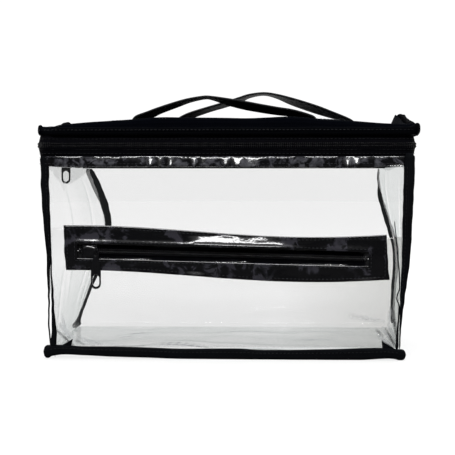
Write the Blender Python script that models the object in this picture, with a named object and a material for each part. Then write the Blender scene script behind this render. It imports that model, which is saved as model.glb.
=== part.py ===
# A soft makeup train case: clear vinyl walls in black bound seams, a padded black lid on a
# fabric hinge, a three-sided zip, a front pocket with its own zip, and two webbing handles.
# Metres. X runs to the right, -Y is the front, +Z is up. The origin is on the floor, below the middle.
import math

import bmesh
import bpy
from mathutils import Matrix, Vector

# Driving dimensions
DEPTH = 0.149           # from the front wall's plane to the back wall's
FRONT = -0.07355        # plane of the front wall
BACK = FRONT + DEPTH
MIDDLE = (FRONT + BACK) / 2
GAP = 0.0004            # clear space between neighbouring pieces

VINYL = 0.0007          # thickness of the clear walls
BINDING = 0.006         # side of the folded tape along each corner seam
BASE_HEIGHT = 0.0086    # height of the seams the case stands on
BASE_LEFT, BASE_RIGHT = -0.1403, 0.1345     # ends of the bound tape along the front of the bottom
SEAM_THICK = 0.0014     # the clear folded seam along the other three edges of the bottom
SEAM_CORNER = 0.006
BOTTOM_AT = 0.0040      # height of the bottom sheet
WALL_STEPS = 12         # straight pieces up each corner seam
BACK_BOW, SIDE_BOW = 0.004, 0.002       # how far the soft walls sink in at their middles

RIM_FRONT_X = 0.1403    # half width of the rim at the front corners
RIM_BACK_X = 0.1335     # half width of the rim at the back corners
RIM_CORNER = 0.008
RIM_LOW, RIM_HIGH = 0.1460, 0.1532
RIM_THICK = 0.0014
ZIP_MIDDLE = 0.1620     # height of the main zip's centre line
COIL_FROM, COIL_TO = 0.0006, 0.0017     # each coil row, measured from a zip's centre line
COIL_THICK = 0.0020
TAPE_THICK = 0.0010
TAPE_LOW, TAPE_HIGH = RIM_HIGH + GAP, 0.1690
ZIP_END = BACK - 0.0095     # where the zip stops short of the back corners
HINGE_RETURN = BACK - 0.004     # the hinge strip turns forwards to here at each side
HINGE_CORNER = 0.003
END_TAB_HALF = 0.0009

LID_LOW, LID_HIGH = 0.1693, 0.1830
LID_BINDING_HIGH = 0.1745
LID_BINDING_THICK = 0.0030
LID_FRONT_X, LID_BACK_X = 0.1425, 0.1463
LID_FRONT, LID_BACK = FRONT - 0.0025, BACK + 0.0002
LID_CORNER = 0.010
LID_ROUNDING = 0.0060
LID_FLAT = 0.045        # the lid's top is level this far to each side, then falls away
LID_FALL = 0.0055
HINGE = Vector((0.0, BACK + 0.0020, 0.1692))

STRAP_WIDTH = 0.022
STRAP_THICK = 0.0016
STRAP_APART = 0.030     # from the lid's middle to each handle's middle
STRAP_PIVOT = 0.1850    # height of the line that a handle folds down about
PATCH_LENGTH = 0.022
PATCH_THICK = 0.0013
# Centre lines of the handles as (x, z), from the left foot to the right foot
FRONT_ARCH = [(-0.0720, 0.1862), (-0.0422, 0.1977), (-0.0198, 0.2015), (0.0106, 0.1949),
              (0.0371, 0.1902), (0.0640, 0.1862)]
BACK_ARCH = [(-0.0460, 0.1862), (-0.0189, 0.1980), (0.0066, 0.2049), (0.0270, 0.2084),
             (0.0519, 0.2009), (0.0802, 0.1920), (0.0990, 0.1862)]
ARCH_STEPS = 5          # straight pieces between two points of an arch

BAND_LEFT, BAND_RIGHT = -0.1235, 0.1205     # ends of the band that faces the pocket zip
BAND_HALF = 0.0170
BAND_THICK = 0.0010
SLOT_LEFT, SLOT_RIGHT = -0.1140, 0.1060
SLOT_HALF = 0.0060
POCKET_ZIP_HEIGHT, POCKET_ZIP_SLOPE = 0.0792, -0.026
POCKET_TAPE_TO = 0.0090
POCKET_TAPE_THICK = 0.0006
POCKET_COIL = (-0.1108, 0.1030)
BACKING_BELOW = 0.002       # from the band's top edge down to the top of the pocket's back sheet
STOP_LENGTH = 0.0018

# Layers of the pocket, measured from the front wall's plane towards the inside
BAND_AT, POCKET_COIL_AT, POCKET_TAPE_AT, BACKING_AT = -0.0015, 0.0002, 0.0011, 0.0036
POCKET_SLIDER_AT = 0.0003

PLATE_LONG, PLATE_HALF = 0.0055, 0.0046     # half length and half height of a slider
PLATE_NEAR, PLATE_FAR = 0.0014, 0.0022      # a slider plate's faces, from the zip's plane
POST_HALF = 0.0003
STAPLE_ROOT = 0.0004        # how deep a staple is set into its slider's plate
MAIN_SLIDER_Y = 0.0270
POCKET_SLIDER_X = -0.1042
POCKET_STAPLE_X = 0.0048    # the pocket pull hangs at this end of its slider
POCKET_STAPLE_UP = 0.0009
STAPLE_IN, STAPLE_OUT = 0.0011, 0.0019      # clear and outer half size of the pocket staple
STAPLE_HALF_WIDTH = 0.00045
BAR_OUT, BAR_HALF = 0.0028, 0.0005          # the main slider's bar, in front of its plate
BAR_LEG_IN, BAR_LEG_OUT = 0.0030, 0.0038
PULL_LENGTH = 0.0295
PULL_THICK = 0.0011
PULL_NECK, PULL_WIDE = 0.0024, 0.0038       # half widths
NECK_LOW, WIDE_HIGH = -0.0075, -0.0150      # the tab widens between these heights
EYE_HALF, EYE_TALL = 0.0013, 0.0038
RING_HALF, RING_TALL = 0.0025, 0.0092
EYE_WALL, RING_WALL = 0.0011, 0.0018        # metal left above the eye and below the ring
MAIN_EYE_TOP = 0.0008       # top of the main pull's eye above its bar's middle


# Shared shapes

def smooth(t):
    t = min(max(t, 0.0), 1.0)
    return t * t * (3 - 2 * t)


def hump(z, centre, spread):
    return math.exp(-0.5 * ((z - centre) / spread) ** 2)


def mix(a, b, t):
    return a + (b - a) * t


# Each corner seam leans and buckles on its own, as soft walls do: x of its middle at height z.

def front_left(z):
    return -(0.1328 + 0.0053 * smooth(z / 0.135))


def front_right(z):
    return 0.1290 + 0.0070 * smooth(z / 0.125)


def back_left(z):
    return -0.1440 + 0.0315 * hump(z, 0.095, 0.044)


def back_right(z):
    return 0.1415 + 0.003 * hump(z, 0.066, 0.018) - 0.0135 * smooth((z - 0.070) / 0.070)


def rim_x(y):
    return mix(RIM_FRONT_X, RIM_BACK_X, (y - FRONT) / DEPTH)


def pocket_zip_z(x):
    return POCKET_ZIP_HEIGHT + POCKET_ZIP_SLOPE * x


def band_z(x):
    """Height of the band's middle, which sags towards the right of the case."""
    return 0.0803 + 0.0043 * math.cos(math.pi * (x + 0.115) / 0.180)


def rounded(corners, radius, closed=True, steps=4):
    """The outline through the corners, each turned on an arc of the radius."""
    corners = [Vector(c) for c in corners]
    outline = []
    for i, corner in enumerate(corners):
        if not closed and i in (0, len(corners) - 1):
            outline.append(corner)
            continue
        before = (corners[i - 1] - corner).normalized()
        after = (corners[(i + 1) % len(corners)] - corner).normalized()
        half = before.angle(after) / 2
        centre = corner + (before + after).normalized() * (radius / math.sin(half))
        start = corner + before * (radius / math.tan(half)) - centre
        end = corner + after * (radius / math.tan(half)) - centre
        for k in range(steps + 1):
            outline.append(centre + start.slerp(end, k / steps).normalized() * radius)
    return outline


def inset(outline, distance):
    """A closed counter-clockwise outline moved inwards by the distance."""
    moved = []
    for i, point in enumerate(outline):
        before = (point - outline[i - 1]).normalized()
        after = (outline[(i + 1) % len(outline)] - point).normalized()
        along = (before + after).normalized()
        inward = Vector((-along.y, along.x))
        moved.append(point + inward * (distance / max(along.dot(after), 0.5)))
    return moved


def arch(points):
    """A smooth line through the points."""
    ends = [Vector(points[0]) * 2 - Vector(points[1]), Vector(points[-1]) * 2 - Vector(points[-2])]
    knots = [ends[0]] + [Vector(p) for p in points] + [ends[1]]
    line = []
    for a, b, c, d in zip(knots, knots[1:], knots[2:], knots[3:]):
        for k in range(ARCH_STEPS):
            t = k / ARCH_STEPS
            line.append((b * 2 + (c - a) * t + (a * 2 - b * 5 + c * 4 - d) * t * t
                         + (b * 3 - a - c * 3 + d) * t ** 3) / 2)
    return line + [knots[-2]]


# Making objects

def material(name, colour, roughness, metallic=0.0, alpha=1.0):
    made = bpy.data.materials.new(name)
    made.use_nodes = True
    shader = made.node_tree.nodes["Principled BSDF"]
    shader.inputs["Base Color"].default_value = (*colour, 1.0)
    shader.inputs["Roughness"].default_value = roughness
    shader.inputs["Metallic"].default_value = metallic
    shader.inputs["Alpha"].default_value = alpha
    made.diffuse_color = (*colour, alpha)
    return made


def add_object(name, bm, finish, origin=(0, 0, 0)):
    """An object from a mesh drawn in place, with its origin moved to the given point."""
    bmesh.ops.recalc_face_normals(bm, faces=bm.faces)
    bmesh.ops.translate(bm, verts=bm.verts, vec=-Vector(origin))
    mesh = bpy.data.meshes.new(name)
    bm.to_mesh(mesh)
    bm.free()
    made = bpy.data.objects.new(name, mesh)
    made.location = origin
    made.data.materials.append(finish)
    bpy.context.scene.collection.objects.link(made)
    return made


def thicken(made, thickness):
    wall = made.modifiers.new("wall", "SOLIDIFY")
    wall.thickness = thickness
    wall.offset = 0.0
    wall.use_even_offset = True
    return made


def edge_line(bm, points, closed=False):
    verts = [bm.verts.new(p) for p in points]
    pairs = list(zip(verts, verts[1:] + verts[:1]))
    return [bm.edges.new(pair) for pair in (pairs if closed else pairs[:-1])]


def standing_strip(name, outline, low, high, thickness, finish, closed=False):
    """A strip of cloth on edge along a line in plan."""
    bm = bmesh.new()
    edges = edge_line(bm, [(p.x, p.y, low) for p in outline], closed)
    raised = bmesh.ops.extrude_edge_only(bm, edges=edges)["geom"]
    verts = [v for v in raised if isinstance(v, bmesh.types.BMVert)]
    bmesh.ops.translate(bm, verts=verts, vec=(0, 0, high - low))
    return thicken(add_object(name, bm, finish), thickness)


def sheet(name, across, up, place, thickness, finish, hole=None):
    """A wall on a grid: place(u, v) gives each point, and hole(point) says what is cut away."""
    bm = bmesh.new()
    bmesh.ops.create_grid(bm, x_segments=across, y_segments=up, size=0.5)
    for v in bm.verts:
        v.co = place(v.co.x + 0.5, v.co.y + 0.5)
    if hole:
        cut = [f for f in bm.faces if hole(f.calc_center_median())]
        bmesh.ops.delete(bm, geom=cut, context="FACES")
    return thicken(add_object(name, bm, finish), thickness)


def slab(bm, outline, low, high):
    """A flat plate with the outline, in the mesh; returns its top face."""
    face = bm.faces.new([bm.verts.new((p.x, p.y, low)) for p in outline])
    top = bmesh.ops.extrude_face_region(bm, geom=[face])["geom"]
    verts = [g for g in top if isinstance(g, bmesh.types.BMVert)]
    bmesh.ops.translate(bm, verts=verts, vec=(0, 0, high - low))
    return next(g for g in top if isinstance(g, bmesh.types.BMFace))


def block(name, low, high, finish, turn=0.0):
    """A small box between two corners, turned about the vertical through its middle."""
    low, high = Vector(low), Vector(high)
    bm = bmesh.new()
    bmesh.ops.create_cube(bm, size=1.0)
    bmesh.ops.scale(bm, vec=high - low, verts=bm.verts)
    bmesh.ops.rotate(bm, cent=(0, 0, 0), matrix=Matrix.Rotation(turn, 3, "Z"), verts=bm.verts)
    bmesh.ops.translate(bm, vec=(low + high) / 2, verts=bm.verts)
    return add_object(name, bm, finish)


def steps_between(low, high, count):
    return [mix(low, high, k / count) for k in range(count + 1)]


# The body

def add_base():
    """The tape along the front, the clear seam round the other three edges, and the sheet inside."""
    front = [Vector((BASE_LEFT, FRONT)), Vector((BASE_RIGHT, FRONT))]
    standing_strip("bottom_binding", front, 0.0, BASE_HEIGHT, BINDING, BLACK_TAPE)
    start = FRONT + BINDING / 2 + GAP
    corners = [(front_right(0.0), start), (back_right(0.0), BACK), (back_left(0.0), BACK),
               (front_left(0.0), start)]
    seam = rounded(corners, SEAM_CORNER, closed=False)
    standing_strip("bottom_seam", seam, 0.0, BASE_HEIGHT, SEAM_THICK, CLEAR_VINYL)
    bm = bmesh.new()
    slab(bm, inset(seam, SEAM_THICK / 2 + GAP), BOTTOM_AT, BOTTOM_AT + VINYL)
    add_object("bottom_panel", bm, CLEAR_VINYL)


def add_corner_binding(name, line, y):
    low, high = BASE_HEIGHT + GAP, RIM_LOW - GAP
    heights = steps_between(low, high, WALL_STEPS)
    bm = bmesh.new()
    bmesh.ops.create_grid(bm, x_segments=1, y_segments=1, size=BINDING / 2)
    bmesh.ops.translate(bm, vec=(line(low), y, low), verts=bm.verts)
    end = list(bm.faces)
    for below, above in zip(heights, heights[1:]):
        raised = bmesh.ops.extrude_face_region(bm, geom=end)["geom"]
        if below != low:
            bmesh.ops.delete(bm, geom=end, context="FACES_ONLY")
        end = [g for g in raised if isinstance(g, bmesh.types.BMFace)]
        verts = [g for g in raised if isinstance(g, bmesh.types.BMVert)]
        bmesh.ops.translate(bm, vec=(line(above) - line(below), 0, above - below), verts=verts)
    add_object(name, bm, BLACK_TAPE)


def add_walls():
    clear = BINDING / 2 + GAP
    low, high = BASE_HEIGHT + GAP, RIM_LOW - GAP
    heights = steps_between(low, high, WALL_STEPS)

    def back(u, v):
        z = heights[round(v * WALL_STEPS)]
        x = mix(back_left(z) + clear, back_right(z) - clear, u)
        return x, BACK - BACK_BOW * math.sin(math.pi * u) * math.sin(math.pi * v), z

    def side(front_line, back_line, inward):
        def place(u, v):
            z = heights[round(v * WALL_STEPS)]
            bow = SIDE_BOW * inward * math.sin(math.pi * u) * math.sin(math.pi * v)
            return (mix(front_line(z), back_line(z), u) + bow,
                    mix(FRONT + clear, BACK - clear, u), z)
        return place

    sheet("back_panel", 14, WALL_STEPS, back, VINYL, CLEAR_VINYL)
    sheet("left_panel", 8, WALL_STEPS, side(front_left, back_left, 1), VINYL, CLEAR_VINYL)
    sheet("right_panel", 8, WALL_STEPS, side(front_right, back_right, -1), VINYL, CLEAR_VINYL)


def in_slot(point):
    level = abs(point.z - pocket_zip_z(point.x)) < SLOT_HALF
    return level and SLOT_LEFT < point.x < SLOT_RIGHT


def add_front_wall():
    clear = BINDING / 2 + GAP
    low, high = BASE_HEIGHT + GAP, RIM_LOW - GAP
    inner = steps_between(SLOT_LEFT, SLOT_RIGHT, 10)

    def place(u, v):
        column, row = round(u * 12), round(v * 9)
        x = inner[min(max(column - 1, 0), 10)]
        slot = pocket_zip_z(x)
        rows = steps_between(low, slot - SLOT_HALF, 4) + steps_between(slot + SLOT_HALF, high, 4)
        z = rows[row]
        if column in (0, 12):
            x = front_left(z) + clear if column == 0 else front_right(z) - clear
        return x, FRONT, z

    sheet("front_panel", 12, 9, place, VINYL, CLEAR_VINYL, hole=in_slot)


def add_rim():
    side = [(-rim_x(ZIP_END), ZIP_END), (-RIM_FRONT_X, FRONT), (RIM_FRONT_X, FRONT),
            (rim_x(ZIP_END), ZIP_END)]
    run = rounded(side, RIM_CORNER, closed=False)
    standing_strip("rim_strip", run, RIM_LOW, RIM_HIGH, RIM_THICK, PATENT_VINYL)
    rows = [("lower_zip_tape", TAPE_LOW, ZIP_MIDDLE - COIL_TO - GAP, TAPE_THICK, ZIP_TAPE),
            ("lower_zip_coil", ZIP_MIDDLE - COIL_TO, ZIP_MIDDLE - COIL_FROM, COIL_THICK, COIL),
            ("upper_zip_coil", ZIP_MIDDLE + COIL_FROM, ZIP_MIDDLE + COIL_TO, COIL_THICK, COIL),
            ("upper_zip_tape", ZIP_MIDDLE + COIL_TO + GAP, TAPE_HIGH, TAPE_THICK, ZIP_TAPE)]
    made = [standing_strip(name, run, low, high, thick, finish)
            for name, low, high, thick, finish in rows]
    returns = rim_x(HINGE_RETURN)
    hinge = rounded([(returns, HINGE_RETURN), (RIM_BACK_X, BACK), (-RIM_BACK_X, BACK),
                     (-returns, HINGE_RETURN)], HINGE_CORNER, closed=False)
    standing_strip("hinge_gusset", hinge, RIM_LOW, TAPE_HIGH, RIM_THICK, BLACK_CLOTH)
    turn = math.atan2(RIM_FRONT_X - RIM_BACK_X, DEPTH)
    for name, way in (("left_zip_end_tab", -1), ("right_zip_end_tab", 1)):
        x = way * rim_x((ZIP_END + HINGE_RETURN) / 2)
        block(name, (x - END_TAB_HALF, ZIP_END + GAP, TAPE_LOW),
              (x + END_TAB_HALF, HINGE_RETURN - GAP, TAPE_HIGH), BLACK_TAPE, turn=way * turn)
    return made[2:]


# The front pocket

def add_pocket():
    add_band()
    add_pocket_zip()
    clear = BINDING / 2 + GAP
    low = BASE_HEIGHT + GAP

    def place(u, v):
        x = mix(BAND_LEFT, BAND_RIGHT, u)
        z = mix(low, band_z(x) + BAND_HALF - BACKING_BELOW, v)
        if u in (0.0, 1.0):
            x = front_left(z) + clear if u == 0.0 else front_right(z) - clear
        return x, FRONT + BACKING_AT, z

    sheet("pocket_backing", 10, 6, place, VINYL, CLEAR_VINYL)


def add_band():
    columns = [BAND_LEFT] + steps_between(SLOT_LEFT, SLOT_RIGHT, 10) + [BAND_RIGHT]

    def place(u, v):
        x = columns[round(u * 12)]
        slot = pocket_zip_z(x)
        rows = (band_z(x) - BAND_HALF, slot - SLOT_HALF, slot + SLOT_HALF, band_z(x) + BAND_HALF)
        return x, FRONT + BAND_AT, rows[round(v * 3)]

    sheet("pocket_facing", 12, 3, place, BAND_THICK, PATENT_VINYL, hole=in_slot)


def add_pocket_zip():
    left, right = POCKET_COIL

    def row(near, far, depth):
        def place(u, v):
            x = mix(left, right, u)
            return x, FRONT + depth, pocket_zip_z(x) + mix(near, far, v)
        return place

    coil_near, coil_far, tape_near = COIL_FROM, COIL_TO, COIL_TO + GAP
    for name, way in (("upper", 1), ("lower", -1)):
        coil = row(way * coil_near, way * coil_far, POCKET_COIL_AT)
        tape = row(way * tape_near, way * POCKET_TAPE_TO, POCKET_TAPE_AT)
        sheet(f"pocket_{name}_coil", 1, 1, coil, COIL_THICK, COIL)
        sheet(f"pocket_{name}_tape", 1, 1, tape, POCKET_TAPE_THICK, ZIP_TAPE)
    y = FRONT + POCKET_COIL_AT
    ends = (("left", left - GAP - STOP_LENGTH), ("right", right + GAP))
    for name, x in ends:
        z = pocket_zip_z(x)
        low = (x, y - COIL_THICK / 2, z - COIL_TO)
        high = (x + STOP_LENGTH, y + COIL_THICK / 2, z + COIL_TO)
        block(f"pocket_zip_{name}_stop", low, high, BLACK_METAL)


# The lid and its handles

def add_lid():
    ring = rounded([(-LID_FRONT_X, LID_FRONT), (LID_FRONT_X, LID_FRONT),
                    (LID_BACK_X, LID_BACK), (-LID_BACK_X, LID_BACK)], LID_CORNER)
    binding = standing_strip("lid_binding", ring, LID_LOW, LID_BINDING_HIGH, LID_BINDING_THICK,
                             BLACK_TAPE, closed=True)
    bm = bmesh.new()
    outline = inset(ring, LID_BINDING_THICK / 2 + GAP)
    top = slab(bm, outline, LID_LOW + GAP, LID_HIGH)
    bmesh.ops.bevel(bm, geom=list(top.edges), offset=LID_ROUNDING, segments=3, profile=0.5,
                    affect="EDGES")
    for x in steps_between(-LID_FRONT_X, LID_FRONT_X, 10)[1:-1]:
        bmesh.ops.bisect_plane(bm, geom=bm.verts[:] + bm.edges[:] + bm.faces[:],
                               plane_co=(x, 0, 0), plane_no=(1, 0, 0))
    for v in bm.verts:
        fall = LID_FALL * smooth((abs(v.co.x) - LID_FLAT) / (LID_FRONT_X - LID_FLAT))
        v.co.z -= fall * (v.co.z - LID_LOW) / (LID_HIGH - LID_LOW)
    return [binding, add_object("lid_panel", bm, BLACK_CLOTH)]


def add_handle(name, points, way):
    """A webbing loop and its two sewn feet; way is -1 for the front one, 1 for the back one."""
    middle = MIDDLE + way * STRAP_APART
    near, far = middle - STRAP_WIDTH / 2, middle + STRAP_WIDTH / 2
    line = arch(points)
    bm = bmesh.new()
    edges = edge_line(bm, [(p.x, near, p.y) for p in line])
    raised = bmesh.ops.extrude_edge_only(bm, edges=edges)["geom"]
    verts = [g for g in raised if isinstance(g, bmesh.types.BMVert)]
    bmesh.ops.translate(bm, vec=(0, STRAP_WIDTH, 0), verts=verts)
    pivot = (0, near if way < 0 else far, STRAP_PIVOT)
    made = [thicken(add_object(name, bm, WEBBING, pivot), STRAP_THICK)]
    for side, x in (("left", line[0].x - GAP - PATCH_LENGTH), ("right", line[-1].x + GAP)):
        low = (x, near, LID_HIGH + GAP)
        high = (x + PATCH_LENGTH, far, LID_HIGH + GAP + PATCH_THICK)
        made.append(block(f"{name}_{side}_foot", low, high, WEBBING))
    return made


# Zip sliders and pulls, drawn with the travel along local X and the outside towards local -Y

def slider_body(name, finish):
    """Two plates on a thin post, an I in section."""
    section = [(-PLATE_FAR, -PLATE_HALF), (-PLATE_NEAR, -PLATE_HALF), (-PLATE_NEAR, -POST_HALF),
               (PLATE_NEAR, -POST_HALF), (PLATE_NEAR, -PLATE_HALF), (PLATE_FAR, -PLATE_HALF),
               (PLATE_FAR, PLATE_HALF), (PLATE_NEAR, PLATE_HALF), (PLATE_NEAR, POST_HALF),
               (-PLATE_NEAR, POST_HALF), (-PLATE_NEAR, PLATE_HALF), (-PLATE_FAR, PLATE_HALF)]
    bm = bmesh.new()
    extrude_section(bm, [(-PLATE_LONG, y, z) for y, z in section], (2 * PLATE_LONG, 0, 0))
    return add_object(name, bm, finish)


def extrude_section(bm, points, along):
    face = bm.faces.new([bm.verts.new(p) for p in points])
    raised = bmesh.ops.extrude_face_region(bm, geom=[face])["geom"]
    verts = [g for g in raised if isinstance(g, bmesh.types.BMVert)]
    bmesh.ops.translate(bm, vec=along, verts=verts)


def staple(name, points, along):
    """The loop that holds a pull, as a guide to be joined to its slider."""
    bm = bmesh.new()
    extrude_section(bm, points, along)
    guide = add_object(name, bm, BLACK_METAL)
    guide.hide_render = True
    guide.display_type = "WIRE"
    return guide


def join_staple(slider, guide):
    guide.parent = slider
    union = slider.modifiers.new("staple", "BOOLEAN")
    union.operation = "UNION"
    union.object = guide


def add_pocket_slider():
    slider = slider_body("pocket_slider", BLACK_METAL)
    root, pin, up = -PLATE_NEAR - STAPLE_ROOT, -PLATE_FAR - STAPLE_IN, POCKET_STAPLE_UP
    near, far = STAPLE_IN, STAPLE_OUT
    section = [(root, up + far), (pin - far, up + far), (pin - far, up - far), (root, up - far),
               (root, up - near), (pin - near, up - near), (pin - near, up + near),
               (root, up + near)]
    start = POCKET_STAPLE_X - STAPLE_HALF_WIDTH
    join_staple(slider, staple("pocket_staple", [(start, y, z) for y, z in section],
                               (2 * STAPLE_HALF_WIDTH, 0, 0)))
    x = POCKET_SLIDER_X
    slider.location = (x, FRONT + POCKET_SLIDER_AT, pocket_zip_z(x))
    slider.rotation_euler.y = -math.atan(POCKET_ZIP_SLOPE)
    pull = add_pull("pocket_pull", -PULL_THICK / 2)
    pull.location = slider.location + Vector((POCKET_STAPLE_X, pin, up))


def add_main_slider():
    slider = slider_body("main_slider", BLACK_METAL)
    root, bar = -PLATE_NEAR - STAPLE_ROOT, -PLATE_FAR - BAR_OUT
    section = [(-BAR_LEG_OUT, root), (-BAR_LEG_OUT, bar - BAR_HALF), (BAR_LEG_OUT, bar - BAR_HALF),
               (BAR_LEG_OUT, root), (BAR_LEG_IN, root), (BAR_LEG_IN, bar + BAR_HALF),
               (-BAR_LEG_IN, bar + BAR_HALF), (-BAR_LEG_IN, root)]
    join_staple(slider, staple("main_staple", [(x, y, -BAR_HALF) for x, y in section],
                               (0, 0, 2 * BAR_HALF)))
    lean = math.atan2(RIM_FRONT_X - RIM_BACK_X, DEPTH)
    turn = -math.pi / 2 - lean
    slider.location = (-rim_x(MAIN_SLIDER_Y), MAIN_SLIDER_Y, ZIP_MIDDLE)
    slider.rotation_euler.z = turn
    pull = add_pull("main_pull", MAIN_EYE_TOP)
    pull.location = slider.location + Matrix.Rotation(turn, 3, "Z") @ Vector((0, bar, 0))
    pull.rotation_euler.z = -lean


def ring_line(half, top, tall, steps=5):
    """An upright slot with round ends, as (x, z), from its top downwards."""
    line = []
    for centre, start in ((top - half, 0.0), (top - tall + half, math.pi)):
        for k in range(steps + 1):
            angle = start + math.pi * k / steps
            line.append((half * math.cos(angle), centre + half * math.sin(angle)))
    return line


def add_pull(name, eye_top):
    """A flat tab with a small eye and an oval ring end; its origin is where it swings."""
    high, low = eye_top + EYE_WALL - PULL_NECK, PULL_WIDE - PULL_LENGTH
    turns = [math.pi * k / 6 for k in range(7)]
    outer = [(PULL_NECK * math.cos(a), high + PULL_NECK * math.sin(a)) for a in turns]
    outer += [(-PULL_NECK, NECK_LOW), (-PULL_WIDE, WIDE_HIGH)]
    outer += [(-PULL_WIDE * math.cos(a), low - PULL_WIDE * math.sin(a)) for a in turns]
    outer += [(PULL_WIDE, WIDE_HIGH), (PULL_NECK, NECK_LOW)]
    eye = ring_line(EYE_HALF, eye_top, EYE_TALL)
    ring = ring_line(RING_HALF, RING_WALL + RING_TALL - PULL_LENGTH, RING_TALL)
    bm = bmesh.new()
    extrude_section(bm, [(x, -PULL_THICK / 2, z) for x, z in outer], (0, PULL_THICK, 0))
    pull = add_object(name, bm, BLACK_METAL)
    for hole_name, line in (("eye", eye), ("ring", ring)):
        cutter = staple(f"{name}_{hole_name}", [(x, -PULL_THICK, z) for x, z in line],
                        (0, 2 * PULL_THICK, 0))
        cutter.parent = pull
        cut = pull.modifiers.new(hole_name, "BOOLEAN")
        cut.operation = "DIFFERENCE"
        cut.object = cutter
    return pull


def hang_on_hinge(pieces):
    """Parent the lid's pieces to an empty on the fabric hinge's line."""
    axis = bpy.data.objects.new("lid_hinge_line", None)
    axis.location = HINGE
    bpy.context.scene.collection.objects.link(axis)
    for piece in pieces:
        piece.parent = axis
        piece.matrix_parent_inverse = Matrix.Translation(-HINGE)


for old in list(bpy.data.objects):
    bpy.data.objects.remove(old, do_unlink=True)

CLEAR_VINYL = material("clear vinyl", (0.86, 0.88, 0.88), 0.08, alpha=0.25)
PATENT_VINYL = material("black patterned patent vinyl", (0.012, 0.012, 0.014), 0.12)
BLACK_TAPE = material("black binding tape", (0.010, 0.010, 0.011), 0.75)
BLACK_CLOTH = material("black padded cloth", (0.012, 0.013, 0.013), 0.80)
WEBBING = material("black webbing", (0.014, 0.014, 0.015), 0.70)
ZIP_TAPE = material("black zip tape", (0.012, 0.012, 0.013), 0.75)
COIL = material("black nylon coil", (0.014, 0.014, 0.016), 0.35)
BLACK_METAL = material("black lacquered zinc", (0.012, 0.012, 0.012), 0.30, metallic=0.4)

add_base()
for corner_name, corner_line, corner_y in (
        ("front_left_binding", front_left, FRONT), ("front_right_binding", front_right, FRONT),
        ("back_left_binding", back_left, BACK), ("back_right_binding", back_right, BACK)):
    add_corner_binding(corner_name, corner_line, corner_y)
add_front_wall()
add_walls()
add_pocket()
lid_pieces = add_rim() + add_lid()
lid_pieces += add_handle("front_handle", FRONT_ARCH, -1)
lid_pieces += add_handle("back_handle", BACK_ARCH, 1)
hang_on_hinge(lid_pieces)
add_main_slider()
add_pocket_slider()
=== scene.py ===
import math

import bmesh
import bpy
from mathutils import Matrix, Vector, noise


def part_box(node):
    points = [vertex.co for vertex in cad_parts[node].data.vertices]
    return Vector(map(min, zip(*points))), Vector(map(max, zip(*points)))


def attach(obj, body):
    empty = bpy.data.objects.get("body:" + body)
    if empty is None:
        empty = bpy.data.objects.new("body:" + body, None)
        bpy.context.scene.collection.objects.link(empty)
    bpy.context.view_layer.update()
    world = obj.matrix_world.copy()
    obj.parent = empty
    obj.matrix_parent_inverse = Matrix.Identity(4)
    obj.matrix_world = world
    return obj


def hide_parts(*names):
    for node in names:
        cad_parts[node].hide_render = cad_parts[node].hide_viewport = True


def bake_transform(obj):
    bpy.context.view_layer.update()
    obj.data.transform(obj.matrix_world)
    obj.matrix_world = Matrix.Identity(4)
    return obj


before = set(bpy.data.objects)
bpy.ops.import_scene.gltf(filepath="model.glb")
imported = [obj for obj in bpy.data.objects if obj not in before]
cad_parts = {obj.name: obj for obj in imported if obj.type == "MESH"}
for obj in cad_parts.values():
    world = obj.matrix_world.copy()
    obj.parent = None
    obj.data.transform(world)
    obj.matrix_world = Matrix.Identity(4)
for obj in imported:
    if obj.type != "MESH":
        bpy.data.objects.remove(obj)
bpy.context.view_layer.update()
mm = 0.001


# Small helpers

def smooth(t):
    t = min(max(t, 0.0), 1.0)
    return t * t * (3 - 2 * t)


def mix(a, b, t):
    return a + (b - a) * t


def bell(distance, width):
    return math.exp(-(distance / width) ** 2)


def waves(point, size, height, seed=0.0):
    # soft random hills, about size across
    return height * noise.noise(Vector(point) / size + Vector((seed, seed * 1.7, seed * 0.6)))


def throughPoints(points):
    # a smooth curve through (place, value) pairs, read at any place; it is level beyond its ends
    places = [p[0] for p in points]
    values = [p[1] for p in points]
    last = len(points) - 1

    def at(place):
        k = max([i for i in range(last) if places[i] <= place], default=0)
        t = min(max((place - places[k]) / (places[k + 1] - places[k]), 0.0), 1.0)
        a, b, c, d = values[max(k - 1, 0)], values[k], values[k + 1], values[min(k + 2, last)]
        return (b * 2 + (c - a) * t + (a * 2 - b * 5 + c * 4 - d) * t * t
                + (b * 3 - a - c * 3 + d) * t ** 3) / 2
    return at


def levelsOf(node, axis):
    # the lowest and highest corners of a node's points at each of its places along an axis
    groups = {}
    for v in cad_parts[node].data.vertices:
        groups.setdefault(round(v.co[axis], 4), []).append(v.co)
    return [(place, Vector([min(c[i] for c in found) for i in range(3)]),
             Vector([max(c[i] for c in found) for i in range(3)]))
            for place, found in sorted(groups.items())]


def seamOf(node):
    # the middle line of an upright seam, as a point for any height
    return throughPoints([(z, (low + high) / 2) for z, low, high in levelsOf(node, 2)])


def middleOf(node):
    low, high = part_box(node)
    return (low + high) / 2


def cornersOf(node, inwards):
    # the four corners in plan of a ring or a U, moved in from its outside
    found = [v.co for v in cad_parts[node].data.vertices]
    low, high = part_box(node)
    front = [c.x for c in found if c.y < middleOf(node).y]
    back = [c.x for c in found if c.y > middleOf(node).y]
    near, far = low.y + inwards, high.y - inwards
    return [Vector((min(front) + inwards, near)), Vector((max(front) - inwards, near)),
            Vector((max(back) - inwards, far)), Vector((min(back) + inwards, far))]


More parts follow.
